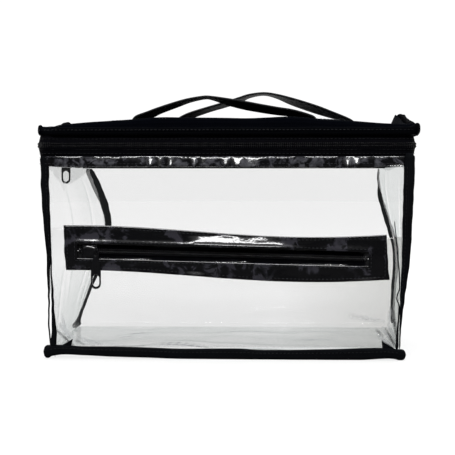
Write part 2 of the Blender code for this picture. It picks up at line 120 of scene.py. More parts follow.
def roundedPath(corners, radius, closed, spacing):
    # evenly spaced points along straight runs and corner arcs, anticlockwise from above
    outline = []
    for i, corner in enumerate(corners):
        if not closed and i in (0, len(corners) - 1):
            outline.append(Vector(corner))
            continue
        before = (corners[i - 1] - corner).normalized()
        after = (corners[(i + 1) % len(corners)] - corner).normalized()
        half = before.angle(after) / 2
        centre = corner + (before + after).normalized() * (radius / math.sin(half))
        start = corner + before * (radius / math.tan(half)) - centre
        end = corner + after * (radius / math.tan(half)) - centre
        for k in range(9):
            outline.append(centre + start.slerp(end, k / 8).normalized() * radius)
    return [p for p, way in evenly(outline, closed, spacing)]


def evenly(line, closed, spacing):
    # the line's points spread evenly; each may carry a direction along with it
    line = [p.to_3d() for p in line] + ([line[0].to_3d()] if closed else [])
    return spreadOut([(p, None) for p in line], closed, spacing, lambda a, b, t: None)


def turning(a, b, t):
    return a.lerp(b, t).normalized()


def spreadOut(line, closed, spacing, between):
    lengths = [(b[0] - a[0]).length for a, b in zip(line, line[1:])]
    count = max(round(sum(lengths) / spacing), 2)
    made, k, passed = [], 0, 0.0
    for i in range(count if closed else count + 1):
        target = sum(lengths) * i / count
        while k < len(lengths) - 1 and passed + lengths[k] < target:
            passed += lengths[k]
            k += 1
        t = min((target - passed) / lengths[k], 1.0)
        made.append((line[k][0].lerp(line[k + 1][0], t), between(line[k][1], line[k + 1][1], t)))
    return made


def stationsOf(path, closed):
    # each point of a path in plan with the direction outwards there and the distance so far
    made, passed = [], 0.0
    for i, point in enumerate(path):
        before = path[i - 1] if closed or i else point
        after = path[(i + 1) % len(path)] if closed or i < len(path) - 1 else point
        way = (after - before).normalized()
        if i:
            passed += (point - path[i - 1]).length
        made.append((point, Vector((way.y, -way.x, 0)), passed))
    return made


def oval(turn, halfOut, halfUp, squareness):
    # a point on a rounded section; squareness 2 is an ellipse, more is boxier
    c, s = math.cos(2 * math.pi * turn), math.sin(2 * math.pi * turn)
    return (halfOut * math.copysign(abs(c) ** (2 / squareness), c),
            halfUp * math.copysign(abs(s) ** (2 / squareness), s))


def shapedGrid(across, up, place, size, wrap=False):
    # a grid whose points go where place(u, v) says, with UVs in metres
    bm = bmesh.new()
    uv = bm.loops.layers.uv.new("UVMap")
    bmesh.ops.create_grid(bm, x_segments=across, y_segments=up, size=0.5, calc_uvs=True)
    for face in bm.faces:
        for loop in face.loops:
            loop[uv].uv = loop[uv].uv * Vector(size)
    for v in bm.verts:
        v.co = place(v.co.x + 0.5, v.co.y + 0.5)
    if wrap:
        bmesh.ops.remove_doubles(bm, verts=bm.verts, dist=1e-6)
        bmesh.ops.holes_fill(bm, edges=bm.edges, sides=0)
    return bm


def sweep(path, closed, section, around, girth):
    # a closed section carried along a path in plan; section(point, turn) gives (out, up)
    stations = stationsOf(path, closed)
    rows = len(path) if closed else len(path) - 1

    def place(u, v):
        point, outwards, passed = stations[round(v * rows) % len(path)]
        out, up = section(point, u % 1.0)
        return point + outwards * out + Vector((0, 0, up))
    return shapedGrid(around, rows, place, (girth, stations[-1][2]), wrap=True)


def joinInto(bm, other):
    # adds another bmesh's shape to this one
    mesh = bpy.data.meshes.new("shape")
    other.to_mesh(mesh)
    other.free()
    bm.from_mesh(mesh)
    bpy.data.meshes.remove(mesh)


def finishPiece(name, bm, finish, body, nodes=(), thickness=0.0, levels=0, across=None):
    # body is a body's name, which the piece is attached to; when across is given the piece is left
    # unattached with its transform baked in, and the points of across are not used
    bmesh.ops.recalc_face_normals(bm, faces=bm.faces)
    mesh = bpy.data.meshes.new(name)
    bm.to_mesh(mesh)
    bm.free()
    mesh.shade_smooth()
    mesh.materials.append(finish)
    piece = bpy.data.objects.new(name, mesh)
    bpy.context.scene.collection.objects.link(piece)
    if thickness:
        wall = piece.modifiers.new("thickness", "SOLIDIFY")
        wall.thickness, wall.offset = thickness, 0.0
    if levels:
        finer = piece.modifiers.new("finer", "SUBSURF")
        finer.levels = finer.render_levels = levels
    if across:
        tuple(across[0])
        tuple(across[1])
        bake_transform(piece)
    else:
        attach(piece, body)
    if nodes:
        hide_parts(*nodes)
    return piece


def addStitches(bm, line, look):
    # short thread capsules along a line of (point, direction out of the cloth)
    one = bmesh.new()
    half = Vector((look["long"] / 2, look["thick"] / 2, look["thick"] / 2, 1))
    bmesh.ops.create_uvsphere(one, u_segments=6, v_segments=4, radius=1.0,
                              matrix=Matrix.Diagonal(half) @ Matrix.Rotation(math.pi / 2, 4, "Y"))
    capsule = bpy.data.meshes.new("capsule")
    one.to_mesh(capsule)
    one.free()
    spots = spreadOut(line, False, look["pitch"], turning)
    for (start, out), (end, after) in zip(spots, spots[1:]):
        along = (end - start).normalized()
        side = out.cross(along).normalized()
        turned = Matrix((along, side, along.cross(side))).transposed().to_4x4()
        placed = capsule.copy()
        placed.transform(Matrix.Translation((start + end) / 2) @ turned)
        bm.from_mesh(placed)
        bpy.data.meshes.remove(placed)
    bpy.data.meshes.remove(capsule)


stitch = {"pitch": 3.0 * mm, "long": 2.2 * mm, "thick": 0.42 * mm}


def addStitchRows(name, rows, finish, body):
    bm = bmesh.new()
    for row in rows:
        addStitches(bm, row, stitch)
    finishPiece(name + "_stitching", bm, finish, body)


def cutAway(bm, inside):
    # removes the faces whose middles are inside
    middles = {f: f.calc_center_median() for f in bm.faces}
    bmesh.ops.delete(bm, geom=[f for f, c in middles.items() if inside(c)], context="FACES")


def archOver(u, v):
    # 1 in the middle of a sheet, 0 along its edges
    return math.sin(math.pi * u) * math.sin(math.pi * v)


# Materials

def hexColour(code):
    parts = [int(code[i:i + 2], 16) / 255 for i in (1, 3, 5)]
    return tuple(c / 12.92 if c <= 0.04045 else ((c + 0.055) / 1.055) ** 2.4
                 for c in parts) + (1.0,)


def addNode(tree, kind, inputs=None, **settings):
    node = tree.nodes.new("ShaderNode" + kind)
    for key, value in settings.items():
        setattr(node, key, value)
    for key, value in (inputs or {}).items():
        if isinstance(value, bpy.types.NodeSocket):
            tree.links.new(value, node.inputs[key])
        else:
            node.inputs[key].default_value = value
    return node


def newMaterial(name, constants):
    made = bpy.data.materials.new(name)
    made.use_nodes = True
    tree = made.node_tree
    shader = tree.nodes["Principled BSDF"]
    for key, value in constants.items():
        shader.inputs[key].default_value = value
    return made, tree, shader


def placeOn(tree, source, size):
    # coordinates in steps of size metres, from the piece's own UV map or from its Object space
    where = addNode(tree, "TexCoord").outputs[source]
    return addNode(tree, "Mapping", {"Vector": where, "Scale": (1 / size,) * 3}).outputs["Vector"]


def noiseOn(tree, size, **inputs):
    # noise in the piece's own space, its patches about size across
    return addNode(tree, "TexNoise", {"Vector": placeOn(tree, "Object", size), "Scale": 1.0,
                                      **inputs}).outputs["Fac"]


def maths(tree, operation, a, b):
    return addNode(tree, "Math", {0: a, 1: b}, operation=operation).outputs[0]


def mixColours(tree, factor, a, b, **settings):
    return addNode(tree, "Mix", {"Factor": factor, 6: a, 7: b}, data_type="RGBA",
                   **settings).outputs[2]


def mixShaders(tree, share, a, b):
    return addNode(tree, "MixShader", {0: share, 1: a.outputs[0], 2: b.outputs[0]})


def mapRange(tree, value, start, end, low=0.0, high=1.0):
    return addNode(tree, "MapRange", {"Value": value, "From Min": start, "From Max": end,
                                      "To Min": low, "To Max": high}).outputs[0]


def addBump(tree, shader, height, strength, distance):
    bump = addNode(tree, "Bump", {"Height": height, "Strength": strength, "Distance": distance})
    tree.links.new(bump.outputs["Normal"], shader.inputs["Normal"])
    return bump.outputs["Normal"]


def setSurface(tree, surface):
    tree.links.new(surface.outputs[0], tree.nodes["Material Output"].inputs["Surface"])


def tones(tree, factor, stops):
    ramp = addNode(tree, "ValToRGB", {"Fac": factor})
    while len(ramp.color_ramp.elements) < len(stops):
        ramp.color_ramp.elements.new(0.5)
    for element, (place, colour) in zip(ramp.color_ramp.elements, stops):
        element.position = place
        element.color = hexColour(colour)
    return ramp.outputs["Color"]


def colourBy(tree, shader, factor, stops):
    tree.links.new(tones(tree, factor, stops), shader.inputs["Base Color"])


clearLook = {"ior": 1.53, "haze": 0.008, "faceOn": "#fcfcfc", "halfOn": "#f9f9f9",
             "edgeOn": "#e3e6e5", "mostGloss": 0.2, "paintedFoldHighlight": 0.95, "paintedTapeReflection": "#24272a"}


def makeClearVinyl(name, shadeFrom, shadeTo, shadeTint):
    # Clear plasticised PVC sheet, calendered: a glossy skin, a faint grey veil that deepens
    # where the sheet turns edge-on, painted highlights as white along its sharper folds, painted dark
    # reflections of the black tape in its dipping folds, and a slight milkiness.
    # Between two places across the case the sheet darkens to a grey: painted shade.
    made, tree, shader = newMaterial(name, {
        "Base Color": hexColour("#eef2f4"), "Roughness": 0.09, "IOR": clearLook["ior"]})
    normal = addBump(tree, shader, noiseOn(tree, 18 * mm, Detail=0.0), 0.2, 0.4 * mm)
    facing = addNode(tree, "LayerWeight", {"Blend": 0.42})
    veil = tones(tree, facing.outputs["Facing"], [
        (0.0, clearLook["faceOn"]), (0.6, clearLook["halfOn"]), (1.0, clearLook["edgeOn"])])
    where = addNode(tree, "SeparateXYZ", {0: addNode(tree, "TexCoord").outputs["Object"]})
    # painted shade: the see-through colour darkens towards larger x
    along = mapRange(tree, where.outputs["X"], shadeFrom, shadeTo)
    shadeTinted = mixColours(tree, along, (1, 1, 1, 1), hexColour(shadeTint))
    colour = mixColours(tree, 1.0, veil, shadeTinted, blend_type="MULTIPLY")
    # painted reflection: in dipping folds the see-through colour darkens towards the tape's black
    paintedTapeReflection = addNode(tree, "Attribute", attribute_name="paintedDarkReflection").outputs["Fac"]
    through = addNode(tree, "BsdfTransparent", {
        "Color": mixColours(tree, paintedTapeReflection, colour, hexColour(clearLook["paintedTapeReflection"]))})
    gloss = addNode(tree, "BsdfAnisotropic", {"Color": hexColour("#ffffff"), "Roughness": 0.07,
                                              "Normal": normal})
    # the far face of the sheet is passed straight through, so only the near one mirrors
    mirror = addNode(tree, "Fresnel", {"IOR": clearLook["ior"]}).outputs[0]
    near = maths(tree, "SUBTRACT", 1.0, addNode(tree, "NewGeometry").outputs["Backfacing"])
    share = maths(tree, "MULTIPLY", maths(tree, "MINIMUM", mirror, clearLook["mostGloss"]), near)
    milky = mixShaders(tree, clearLook["haze"], mixShaders(tree, share, through, gloss), shader)
    # painted highlight: the sheet is mixed towards white along its sharper folds
    folds = addNode(tree, "Attribute", attribute_name="paintedFoldHighlight").outputs["Fac"]
    white = addNode(tree, "BsdfTranslucent", {"Color": hexColour("#fbfdff")})
    setSurface(tree, mixShaders(tree, maths(tree, "MULTIPLY", folds, clearLook["paintedFoldHighlight"]),
                                milky, white))
    return made


def makePatentVinyl(name, size, stops):
    # Patent PVC printed with a dark mottled pattern, then lacquered: near-black patches under a
    # wet gloss that wrinkles break into blobs.
    made, tree, shader = newMaterial(name, {
        "Roughness": 0.16, "IOR": 1.5, "Coat Weight": 0.7, "Coat Roughness": 0.05})
    patches = noiseOn(tree, size, Detail=3.0, Roughness=0.55, Distortion=0.6)
    colourBy(tree, shader, patches, stops)
    wrinkles = noiseOn(tree, 6 * mm, Detail=4.0, Roughness=0.5)
    normal = addBump(tree, shader, wrinkles, 0.5, 0.6 * mm)
    tree.links.new(normal, shader.inputs["Coat Normal"])
    return made


def makeWoven(name, look):
    # A woven narrow fabric or cloth: ribs one way, picks the other, and uneven dye.
    made, tree, shader = newMaterial(name, {
        "Roughness": look["roughness"], "Sheen Weight": look["sheen"], "Sheen Roughness": 0.5,
        "Specular IOR Level": look["specular"]})
    cloth = placeOn(tree, look["source"], look["pitch"])
    ribs = addNode(tree, "TexWave", {"Vector": cloth, "Scale": 0.5, "Distortion": 0.6,
                                     "Detail": 1.0}, bands_direction=look["ribs"])
    across = "Y" if look["ribs"] == "X" else "X"
    picks = addNode(tree, "TexWave", {"Vector": cloth, "Scale": look["picks"],
                                      "Distortion": 0.4}, bands_direction=across)
    weave = maths(tree, "MULTIPLY", ribs.outputs["Fac"], picks.outputs["Fac"])
    base = tones(tree, noiseOn(tree, 14 * mm, Detail=4.0),
                 [(0.3, look["dark"]), (0.7, look["light"])])
    tree.links.new(mixColours(tree, weave, base, hexColour(look["thread"])),
                   shader.inputs["Base Color"])
    addBump(tree, shader, weave, look["relief"], 0.3 * mm)
    return made


def makeThread(name, dark, lightest):
    # Twisted polyester sewing thread: dark, with a small sheen that lifts it off what it sews.
    made, tree, shader = newMaterial(name, {"Roughness": 0.5, "Sheen Weight": 0.05,
                                            "Specular IOR Level": 0.2})
    colourBy(tree, shader, noiseOn(tree, 2 * mm), [(0.3, dark), (0.7, lightest)])
    return made


def makeNylon():
    # Drawn nylon coil: dark, smooth, with small soft highlights on each turn.
    made, tree, shader = newMaterial("nylonCoilDrawn", {"Roughness": 0.36, "IOR": 1.45})
    colourBy(tree, shader, noiseOn(tree, 3 * mm), [(0.3, "#040406"), (0.7, "#09090c")])
    return made


def makeLacqueredZinc():
    # Die-cast zinc with black lacquer: glossy black with a faint orange peel and worn grey edges.
    made, tree, shader = newMaterial("zincDieCastLacquered", {
        "Roughness": 0.22, "IOR": 1.5, "Coat Weight": 0.8, "Coat Roughness": 0.05})
    wear = noiseOn(tree, 1.5 * mm, Detail=5.0)
    colourBy(tree, shader, wear, [(0.35, "#040406"), (0.8, "#131317")])
    addBump(tree, shader, wear, 0.15, 0.05 * mm)
    return made


clearVinyl = makeClearVinyl("clearPvcSheetCalendered", -1.0, 1.0, "#ffffff")
# the pocket sheet is drawn darker towards its right-hand end: painted shade
pocketVinyl = makeClearVinyl("clearPvcPocketSheetPaintedShade", 40 * mm, 120 * mm, "#f1f1f0")
patentVinyl = makePatentVinyl("patentPvcPrintedLacquered", 12 * mm, [
    (0.0, "#050508"), (0.54, "#09090c"), (0.57, "#1d1d22"), (0.62, "#38373e")])
rimVinyl = makePatentVinyl("patentPvcMottledLacquered", 6 * mm, [
    (0.0, "#050508"), (0.47, "#09090c"), (0.51, "#232328"), (0.57, "#434349"),
    (0.66, "#5a5a60")])
# Real pitches are 0.4 to 0.6 mm, too fine to show: the weaves are drawn two or three times as
# coarse.
tapeLook = {"source": "UV", "pitch": 1.1 * mm, "ribs": "Y", "picks": 0.35, "dark": "#07080a",
            "light": "#0b0d10", "thread": "#14161a", "roughness": 0.8, "sheen": 0.0,
            "specular": 0.04, "relief": 0.5}
bindingTape = makeWoven("polyesterBindingTapeWoven", tapeLook)
lidEdging = makeWoven("polyesterLidTapeWoven", {
    **tapeLook, "dark": "#030406", "light": "#050609", "thread": "#0a0b0e", "specular": 0.01})
lidCloth = makeWoven("polyesterOxfordWoven", {
    **tapeLook, "source": "Object", "pitch": 1.2 * mm, "ribs": "X", "picks": 0.5,
    "dark": "#010205", "light": "#020307", "thread": "#05060b", "specular": 0.008,
    "relief": 0.4})
webbing = makeWoven("polypropyleneWebbingWoven", {
    **tapeLook, "pitch": 1.5 * mm, "ribs": "X", "picks": 0.5, "dark": "#0a0b0d",
    "light": "#0f1113", "thread": "#1b1e21", "roughness": 0.6, "sheen": 0.02,
    "specular": 0.18, "relief": 0.7})
zipTape = makeWoven("polyesterZipTapeHerringbone", {
    **tapeLook, "pitch": 1.3 * mm, "picks": 0.5, "dark": "#030305", "light": "#050508",
    "thread": "#121217", "roughness": 0.7, "specular": 0.015, "relief": 0.6})
thread = makeThread("polyesterThreadMatt", "#08090b", "#15161a")
# the same thread drawn lighter for stitches on the glossy patent vinyl: painted highlight
highlightThread = makeThread("polyesterThreadPaintedHighlight", "#121316", "#303136")
nylon = makeNylon()
lacquer = makeLacqueredZinc()
print("materials made")


# Camera, floor and light

view = {"aside": 28 * mm, "away": 818 * mm, "height": 136 * mm, "aimHeight": 100 * mm, "lens": 86}
light = {"sky": 0.9, "horizon": 0.04, "backdrop": 1.0, "seenBackdrop": 1.03,
         "floorBounce": "#383838", "paper": "#8c8c8c", "paperGlow": 0.73, "farGlow": 0.86,
         "glowFrom": 0.25, "glowTo": 0.9, "dimUpTo": -0.10, "whiteFrom": 0.02,
         "floorRadius": 6.0}


def addCamera():
    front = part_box("front_panel")[0].y
    data = bpy.data.cameras.new("camera")
    data.lens, data.sensor_width = view["lens"], 36
    camera = bpy.data.objects.new("camera", data)
    bpy.context.scene.collection.objects.link(camera)
    camera.location = (view["aside"], front - view["away"], view["height"])
    aim = Vector((0, front, view["aimHeight"])) - camera.location
    camera.rotation_euler = aim.to_track_quat("-Z", "Y").to_euler()
    bpy.context.scene.camera = camera


def addFloor():
    # white seamless paper; in front of the case it throws little light back, as under a black flag
    made, tree, shader = newMaterial("paperSeamlessMatt", {
        "Base Color": hexColour(light["paper"]), "Roughness": 0.9, "Specular IOR Level": 0.0,
        "Emission Color": (1, 1, 1, 1)})
    where = addNode(tree, "TexCoord").outputs["Object"]
    away = addNode(tree, "VectorMath", {0: where}, operation="LENGTH").outputs["Value"]
    glow = mapRange(tree, away, light["glowFrom"], light["glowTo"], light["paperGlow"],
                    light["farGlow"])
    tree.links.new(glow, shader.inputs["Emission Strength"])
    dim = addNode(tree, "BsdfDiffuse", {"Color": hexColour(light["floorBounce"])})
    seen = addNode(tree, "LightPath").outputs["Is Camera Ray"]
    back = mapRange(tree, addNode(tree, "SeparateXYZ", {0: where}).outputs["Y"],
                    light["dimUpTo"], light["whiteFrom"])
    setSurface(tree, mixShaders(tree, maths(tree, "MAXIMUM", seen, back), dim, shader))
    bm = bmesh.new()
    bmesh.ops.create_circle(bm, cap_ends=True, segments=64, radius=light["floorRadius"])
    mesh = bpy.data.meshes.new("floor")
    bm.to_mesh(mesh)
    bm.free()
    mesh.materials.append(made)
    floor = bpy.data.objects.new("floor", mesh)
    bpy.context.scene.collection.objects.link(floor)


def addSoftbox(name, place, target, size, power):
    data = bpy.data.lights.new(name, "AREA")
    data.shape, data.size, data.size_y, data.energy = "RECTANGLE", size[0], size[1], power
    box = bpy.data.objects.new(name, data)
    bpy.context.scene.collection.objects.link(box)
    box.location = place
    box.rotation_euler = (Vector(target) - Vector(place)).to_track_quat("-Z", "Y").to_euler()


def addSky():
    # white behind the case and overhead, dim on the camera's side; a camera sees white all round
    world = bpy.data.worlds.new("studio")
    bpy.context.scene.world = world
    world.use_nodes = True
    tree = world.node_tree
    way = addNode(tree, "SeparateXYZ", {0: addNode(tree, "TexCoord").outputs["Generated"]})
    overhead = mapRange(tree, way.outputs["Z"], 0.15, 0.9, light["horizon"], light["sky"])
    behind = mapRange(tree, way.outputs["Y"], 0.0, 0.35)
    level = addNode(tree, "Mix", {"Factor": behind, 2: overhead, 3: light["backdrop"]})
    seen = addNode(tree, "LightPath").outputs["Is Camera Ray"]
    strength = addNode(tree, "Mix", {"Factor": seen, 2: level.outputs[0],
                                     3: light["seenBackdrop"]})
    back = tree.nodes["Background"]
    back.inputs["Color"].default_value = (1, 1, 1, 1)
    tree.links.new(strength.outputs[0], back.inputs["Strength"])


addCamera()
addFloor()
addSky()
addSoftbox("keySoftbox", (-0.10, -1.15, 1.05), (0, 0, 0.1), (0.9, 0.28), 14)
addSoftbox("topSoftbox", (0.1, 0.3, 1.5), (0, 0, 0.0), (1.2, 1.2), 12)
bpy.context.scene.view_settings.view_transform = "Standard"
bpy.context.scene.cycles.transparent_max_bounces = 32
print("camera, floor and light made")


# The case's lines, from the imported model

frontPlane = middleOf("front_panel").y
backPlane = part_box("back_left_binding")[0].y + 3 * mm
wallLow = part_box("front_left_binding")[0].z
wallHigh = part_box("rim_strip")[0].z + 2 * mm
seams = {name: seamOf(name + "_binding")
         for name in ("front_left", "front_right", "back_left", "back_right")}
zipEnds = [(p, (low + high) / 2) for p, low, high in levelsOf("pocket_upper_coil", 0)]
zipSlope = (zipEnds[-1][1].z - zipEnds[0][1].z) / (zipEnds[-1][0] - zipEnds[0][0])
zipStart = middleOf("pocket_zip_left_stop")


def pocketZipZ(x):
    return zipStart.z + zipSlope * (x - zipStart.x)


bandEdges = [(p, low, high) for p, low, high in levelsOf("pocket_facing", 0)]
bandLow = throughPoints([(p, low.z) for p, low, high in bandEdges])
bandHigh = throughPoints([(p, high.z) for p, low, high in bandEdges])
bandLeft, bandRight = bandEdges[0][0], bandEdges[-1][0]


# Clear walls

wall = {"thick": 0.6 * mm, "cells": (110, 62), "frontCells": (150, 84), "sideCells": 66,
        "swell": 0.5 * mm, "swellSize": 60 * mm, "backBow": 4 * mm, "sideBow": 2 * mm,
        "mostCrease": 1.2 * mm, "sharpUpTo": 2.2 * mm, "fullFold": 1.6 * mm, "slotHalf": 5 * mm}


def creasesOf(rows):
    # each row gives where a crease starts and ends, along the sheet and up it, then its width
    # and its height, all in mm
    return [(Vector((a, b)) * mm, Vector((c, d)) * mm, width * mm, height * mm)
            for a, b, c, d, width, height in rows]


frontCreases = creasesOf([
    (-128, 26, -112, 10, 1.1, 1.8), (-131, 22, -117, 9.5, 0.8, -1.8),
    (-124, 19, -109, 10, 0.9, -1.5), (-126, 34, -121, 12, 0.7, 1.6),
    (-113, 16, -96, 11, 0.9, 1.4), (118.8, 23.9, 126.3, 11, 0.8, -2.6),
    (121, 26.5, 128.5, 12, 0.7, 3.6), (114, 18.5, 124.5, 9.8, 0.8, 3.8),
    (116.5, 25.5, 123, 15, 0.6, 2.8), (125, 37, 127.2, 17, 0.8, -2.2),
    (122.5, 40, 121.5, 26, 0.8, 1.8), (112, 23, 117.5, 18, 0.8, -1.2),
    (92, 34, 119, 29, 1.6, 0.9), (60, 16, 110, 24, 3, 0.6)])
sideCreases = creasesOf([
    (-30, 20, -34, 135, 3, 1.2), (20, 40, 30, 140, 4, -1.5), (-60, 15, -45, 60, 2, 1),
    (50, 12, 35, 70, 2.5, 1.2)])
backCreases = creasesOf([
    (-100, 20, -60, 12, 2.5, 1), (110, 110, 115, 140, 1.5, 1.4), (118, 100, 121, 140, 1.2, -1.2),
    (-20, 15, 70, 22, 4, 0.8)])


def creaseAt(creases, along, up):
    rise, spot = 0.0, Vector((along, up))
    for start, end, width, height in creases:
        run = end - start
        t = min(max((spot - start).dot(run) / run.length_squared, 0), 1)
        distance = (spot - start - run * t).length
        if distance < 4 * width:
            rise += height * bell(distance, width) * (0.25 + 0.75 * math.sin(math.pi * t))
    return rise


def markFolds(bm, creases, upwards):
    # along its sharper folds the vinyl gets a painted highlight, and where they dip a painted dark
    # reflection of the black tape
    white = bm.verts.layers.float.new("paintedFoldHighlight")
    dark = bm.verts.layers.float.new("paintedDarkReflection")
    sharp = [c for c in creases if c[2] < wall["sharpUpTo"]]
    for v in bm.verts:
        up = v.co.z if upwards else v.co.y
        streaks = max(noise.noise(Vector((v.co.x, up, 0)) / (5 * mm)) * 0.5 + 0.6, 0)
        fold = creaseAt(sharp, v.co.x, up) / wall["fullFold"]
        # painted highlight along the raised folds, and faintly along the dips
        v[white] = min(max(fold, -fold * 0.2), 1.0) * streaks
        # painted reflection of the black tape along the dipping folds
        v[dark] = min(max(-fold, 0), 1.0) * streaks


def edgeFade(u, v):
    # 0 at a wall's sewn edges, 1 away from them
    return smooth(min(u, 1 - u) / 0.04) * smooth(min(v, 1 - v) / 0.05)


def finishSheet(name, bm, node, finish=clearVinyl):
    finishPiece(name, bm, finish, "case", [node], thickness=wall["thick"])


def addFrontWall():
    def place(u, v):
        # the cells are finer towards the two lower corners, where the sheet is creased
        u, v = u - 0.10 * math.sin(2 * math.pi * u), v ** 1.5
        z = mix(wallLow, wallHigh, v)
        x = mix(seams["front_left"](z).x, seams["front_right"](z).x, u)
        push = waves((x, 0, z), wall["swellSize"], wall["swell"], 3.1)
        push += min(max(creaseAt(frontCreases, x, z), -wall["mostCrease"]), wall["mostCrease"])
        return Vector((x, frontPlane - push * edgeFade(u, v), z))
    bm = shapedGrid(*wall["frontCells"], place, (0.27, 0.136))
    left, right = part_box("pocket_upper_coil")[0].x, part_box("pocket_upper_coil")[1].x
    cutAway(bm, lambda c: left < c.x < right and abs(c.z - pocketZipZ(c.x)) < wall["slotHalf"])
    markFolds(bm, frontCreases, True)
    finishSheet("front_wall", bm, "front_panel")


def addBackWall():
    def place(u, v):
        z = mix(wallLow, wallHigh, v)
        x = mix(seams["back_left"](z).x, seams["back_right"](z).x, u)
        push = waves((x, 0.3, z), wall["swellSize"], 2 * wall["swell"], 5.3)
        push += creaseAt(backCreases, x, z)
        return Vector((x, backPlane - wall["backBow"] * archOver(u, v) + push * edgeFade(u, v), z))
    finishSheet("back_wall", shapedGrid(*wall["cells"], place, (0.27, 0.136)), "back_panel")


def addSideWall(side, way):
    def place(u, v):
        y, z = mix(frontPlane, backPlane, u), mix(wallLow, wallHigh, v)
        x = mix(seams["front_" + side](z).x, seams["back_" + side](z).x, u)
        push = waves((way, y, z), wall["swellSize"], 2 * wall["swell"], 7.7)
        push += creaseAt(sideCreases, y * way, z)
        outwards = push * edgeFade(u, v) - wall["sideBow"] * archOver(u, v)
        return Vector((x + way * outwards, y, z))
    bm = shapedGrid(wall["sideCells"], wall["cells"][1], place, (0.149, 0.136))
    finishSheet(side + "_wall", bm, side + "_panel")


bottomCreases = creasesOf([
    (-122, -67, -95, -58, 1.5, 1.1), (-98, -58, -60, -30, 1.2, 1.3), (-62, -32, -10, -46, 1, 1.2),
    (-60, -26, -20, -36, 0.8, 0.9), (10, -60, 52, -62, 1.2, 1.2), (-95, 10, -78, 14, 1.2, 1),
    (-90, 28, -70, 36, 1, 0.9), (98, -50, 118, -66, 1.4, 1.4), (-120, -55, -60, -30, 6, -1.2),
    (-50, -20, 60, -35, 7, 1.2), (-90, 20, 90, 40, 9, 1.2)])


bottom = {"seamHalf": 0.7 * mm, "height": 4.4 * mm, "swell": 1.6 * mm, "mostSag": 2.5 * mm}


def addFloorSheet():
    corners = cornersOf("bottom_seam", bottom["seamHalf"])

    def place(u, v):
        near, far = corners[0].lerp(corners[1], u), corners[3].lerp(corners[2], u)
        spot = near.lerp(far, v)
        fade = smooth(min(u, 1 - u) / 0.05) * smooth(min(v, 1 - v) / 0.08)
        rise = waves((spot.x, spot.y, 0), 35 * mm, bottom["swell"], 9.2)
        rise += creaseAt(bottomCreases, spot.x, spot.y)
        return Vector((spot.x, spot.y, bottom["height"] + max(rise * fade, -bottom["mostSag"])))
    bm = shapedGrid(160, 90, place, (0.27, 0.149))
    markFolds(bm, bottomCreases, False)
    finishSheet("bottom_wall", bm, "bottom_panel")


def addBottomFold():
    # the walls and the bottom sheet meet in a folded, welded edge on three sides
    corners = cornersOf("bottom_seam", bottom["seamHalf"])
    path = roundedPath([corners[1], corners[2], corners[3], corners[0]], 6 * mm, False, 1.6 * mm)
    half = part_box("bottom_seam")[1].z / 2

    def section(point, turn):
        out, up = oval(turn, 0.5 * mm, half - 0.1 * mm, 3.0)
        return out + waves(point, 13 * mm, 0.9 * mm, 8.1), half + up
    bm = sweep(path, False, section, 20, 20 * mm)
    finishPiece("bottom_fold", bm, clearVinyl, "case", ["bottom_seam"])


def addPocketSheet():
    depth, high = middleOf("pocket_backing").y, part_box("pocket_backing")[1].z

    def place(u, v):
        low = wallLow
        x = mix(seams["front_left"](low).x, seams["front_right"](low).x, u)
        top = min(bandHigh(x) - 2 * mm, high)
        z = mix(low, top, v)
        x = mix(seams["front_left"](z).x, seams["front_right"](z).x, u)
        fade = edgeFade(u, v)
        push = waves((x, 0.1, z), 45 * mm, 1.2 * mm, 12.5)
        # behind the zip it keeps clear of the slider
        push = mix(push, max(push, 0.3 * mm), smooth((z - pocketZipZ(x)) / (6 * mm) + 2))
        y = mix(frontPlane + 0.5 * mm, depth, smooth(min(u, 1 - u) / 0.03))
        return Vector((x, y + push * fade, z))
    bm = shapedGrid(100, 40, place, (0.27, 0.088))
    finishSheet("pocket_wall", bm, "pocket_backing", pocketVinyl)


addFrontWall()
addBackWall()
addSideWall("left", -1)
addSideWall("right", 1)
addFloorSheet()
addBottomFold()
addPocketSheet()
print("clear walls made")


# Bound seams

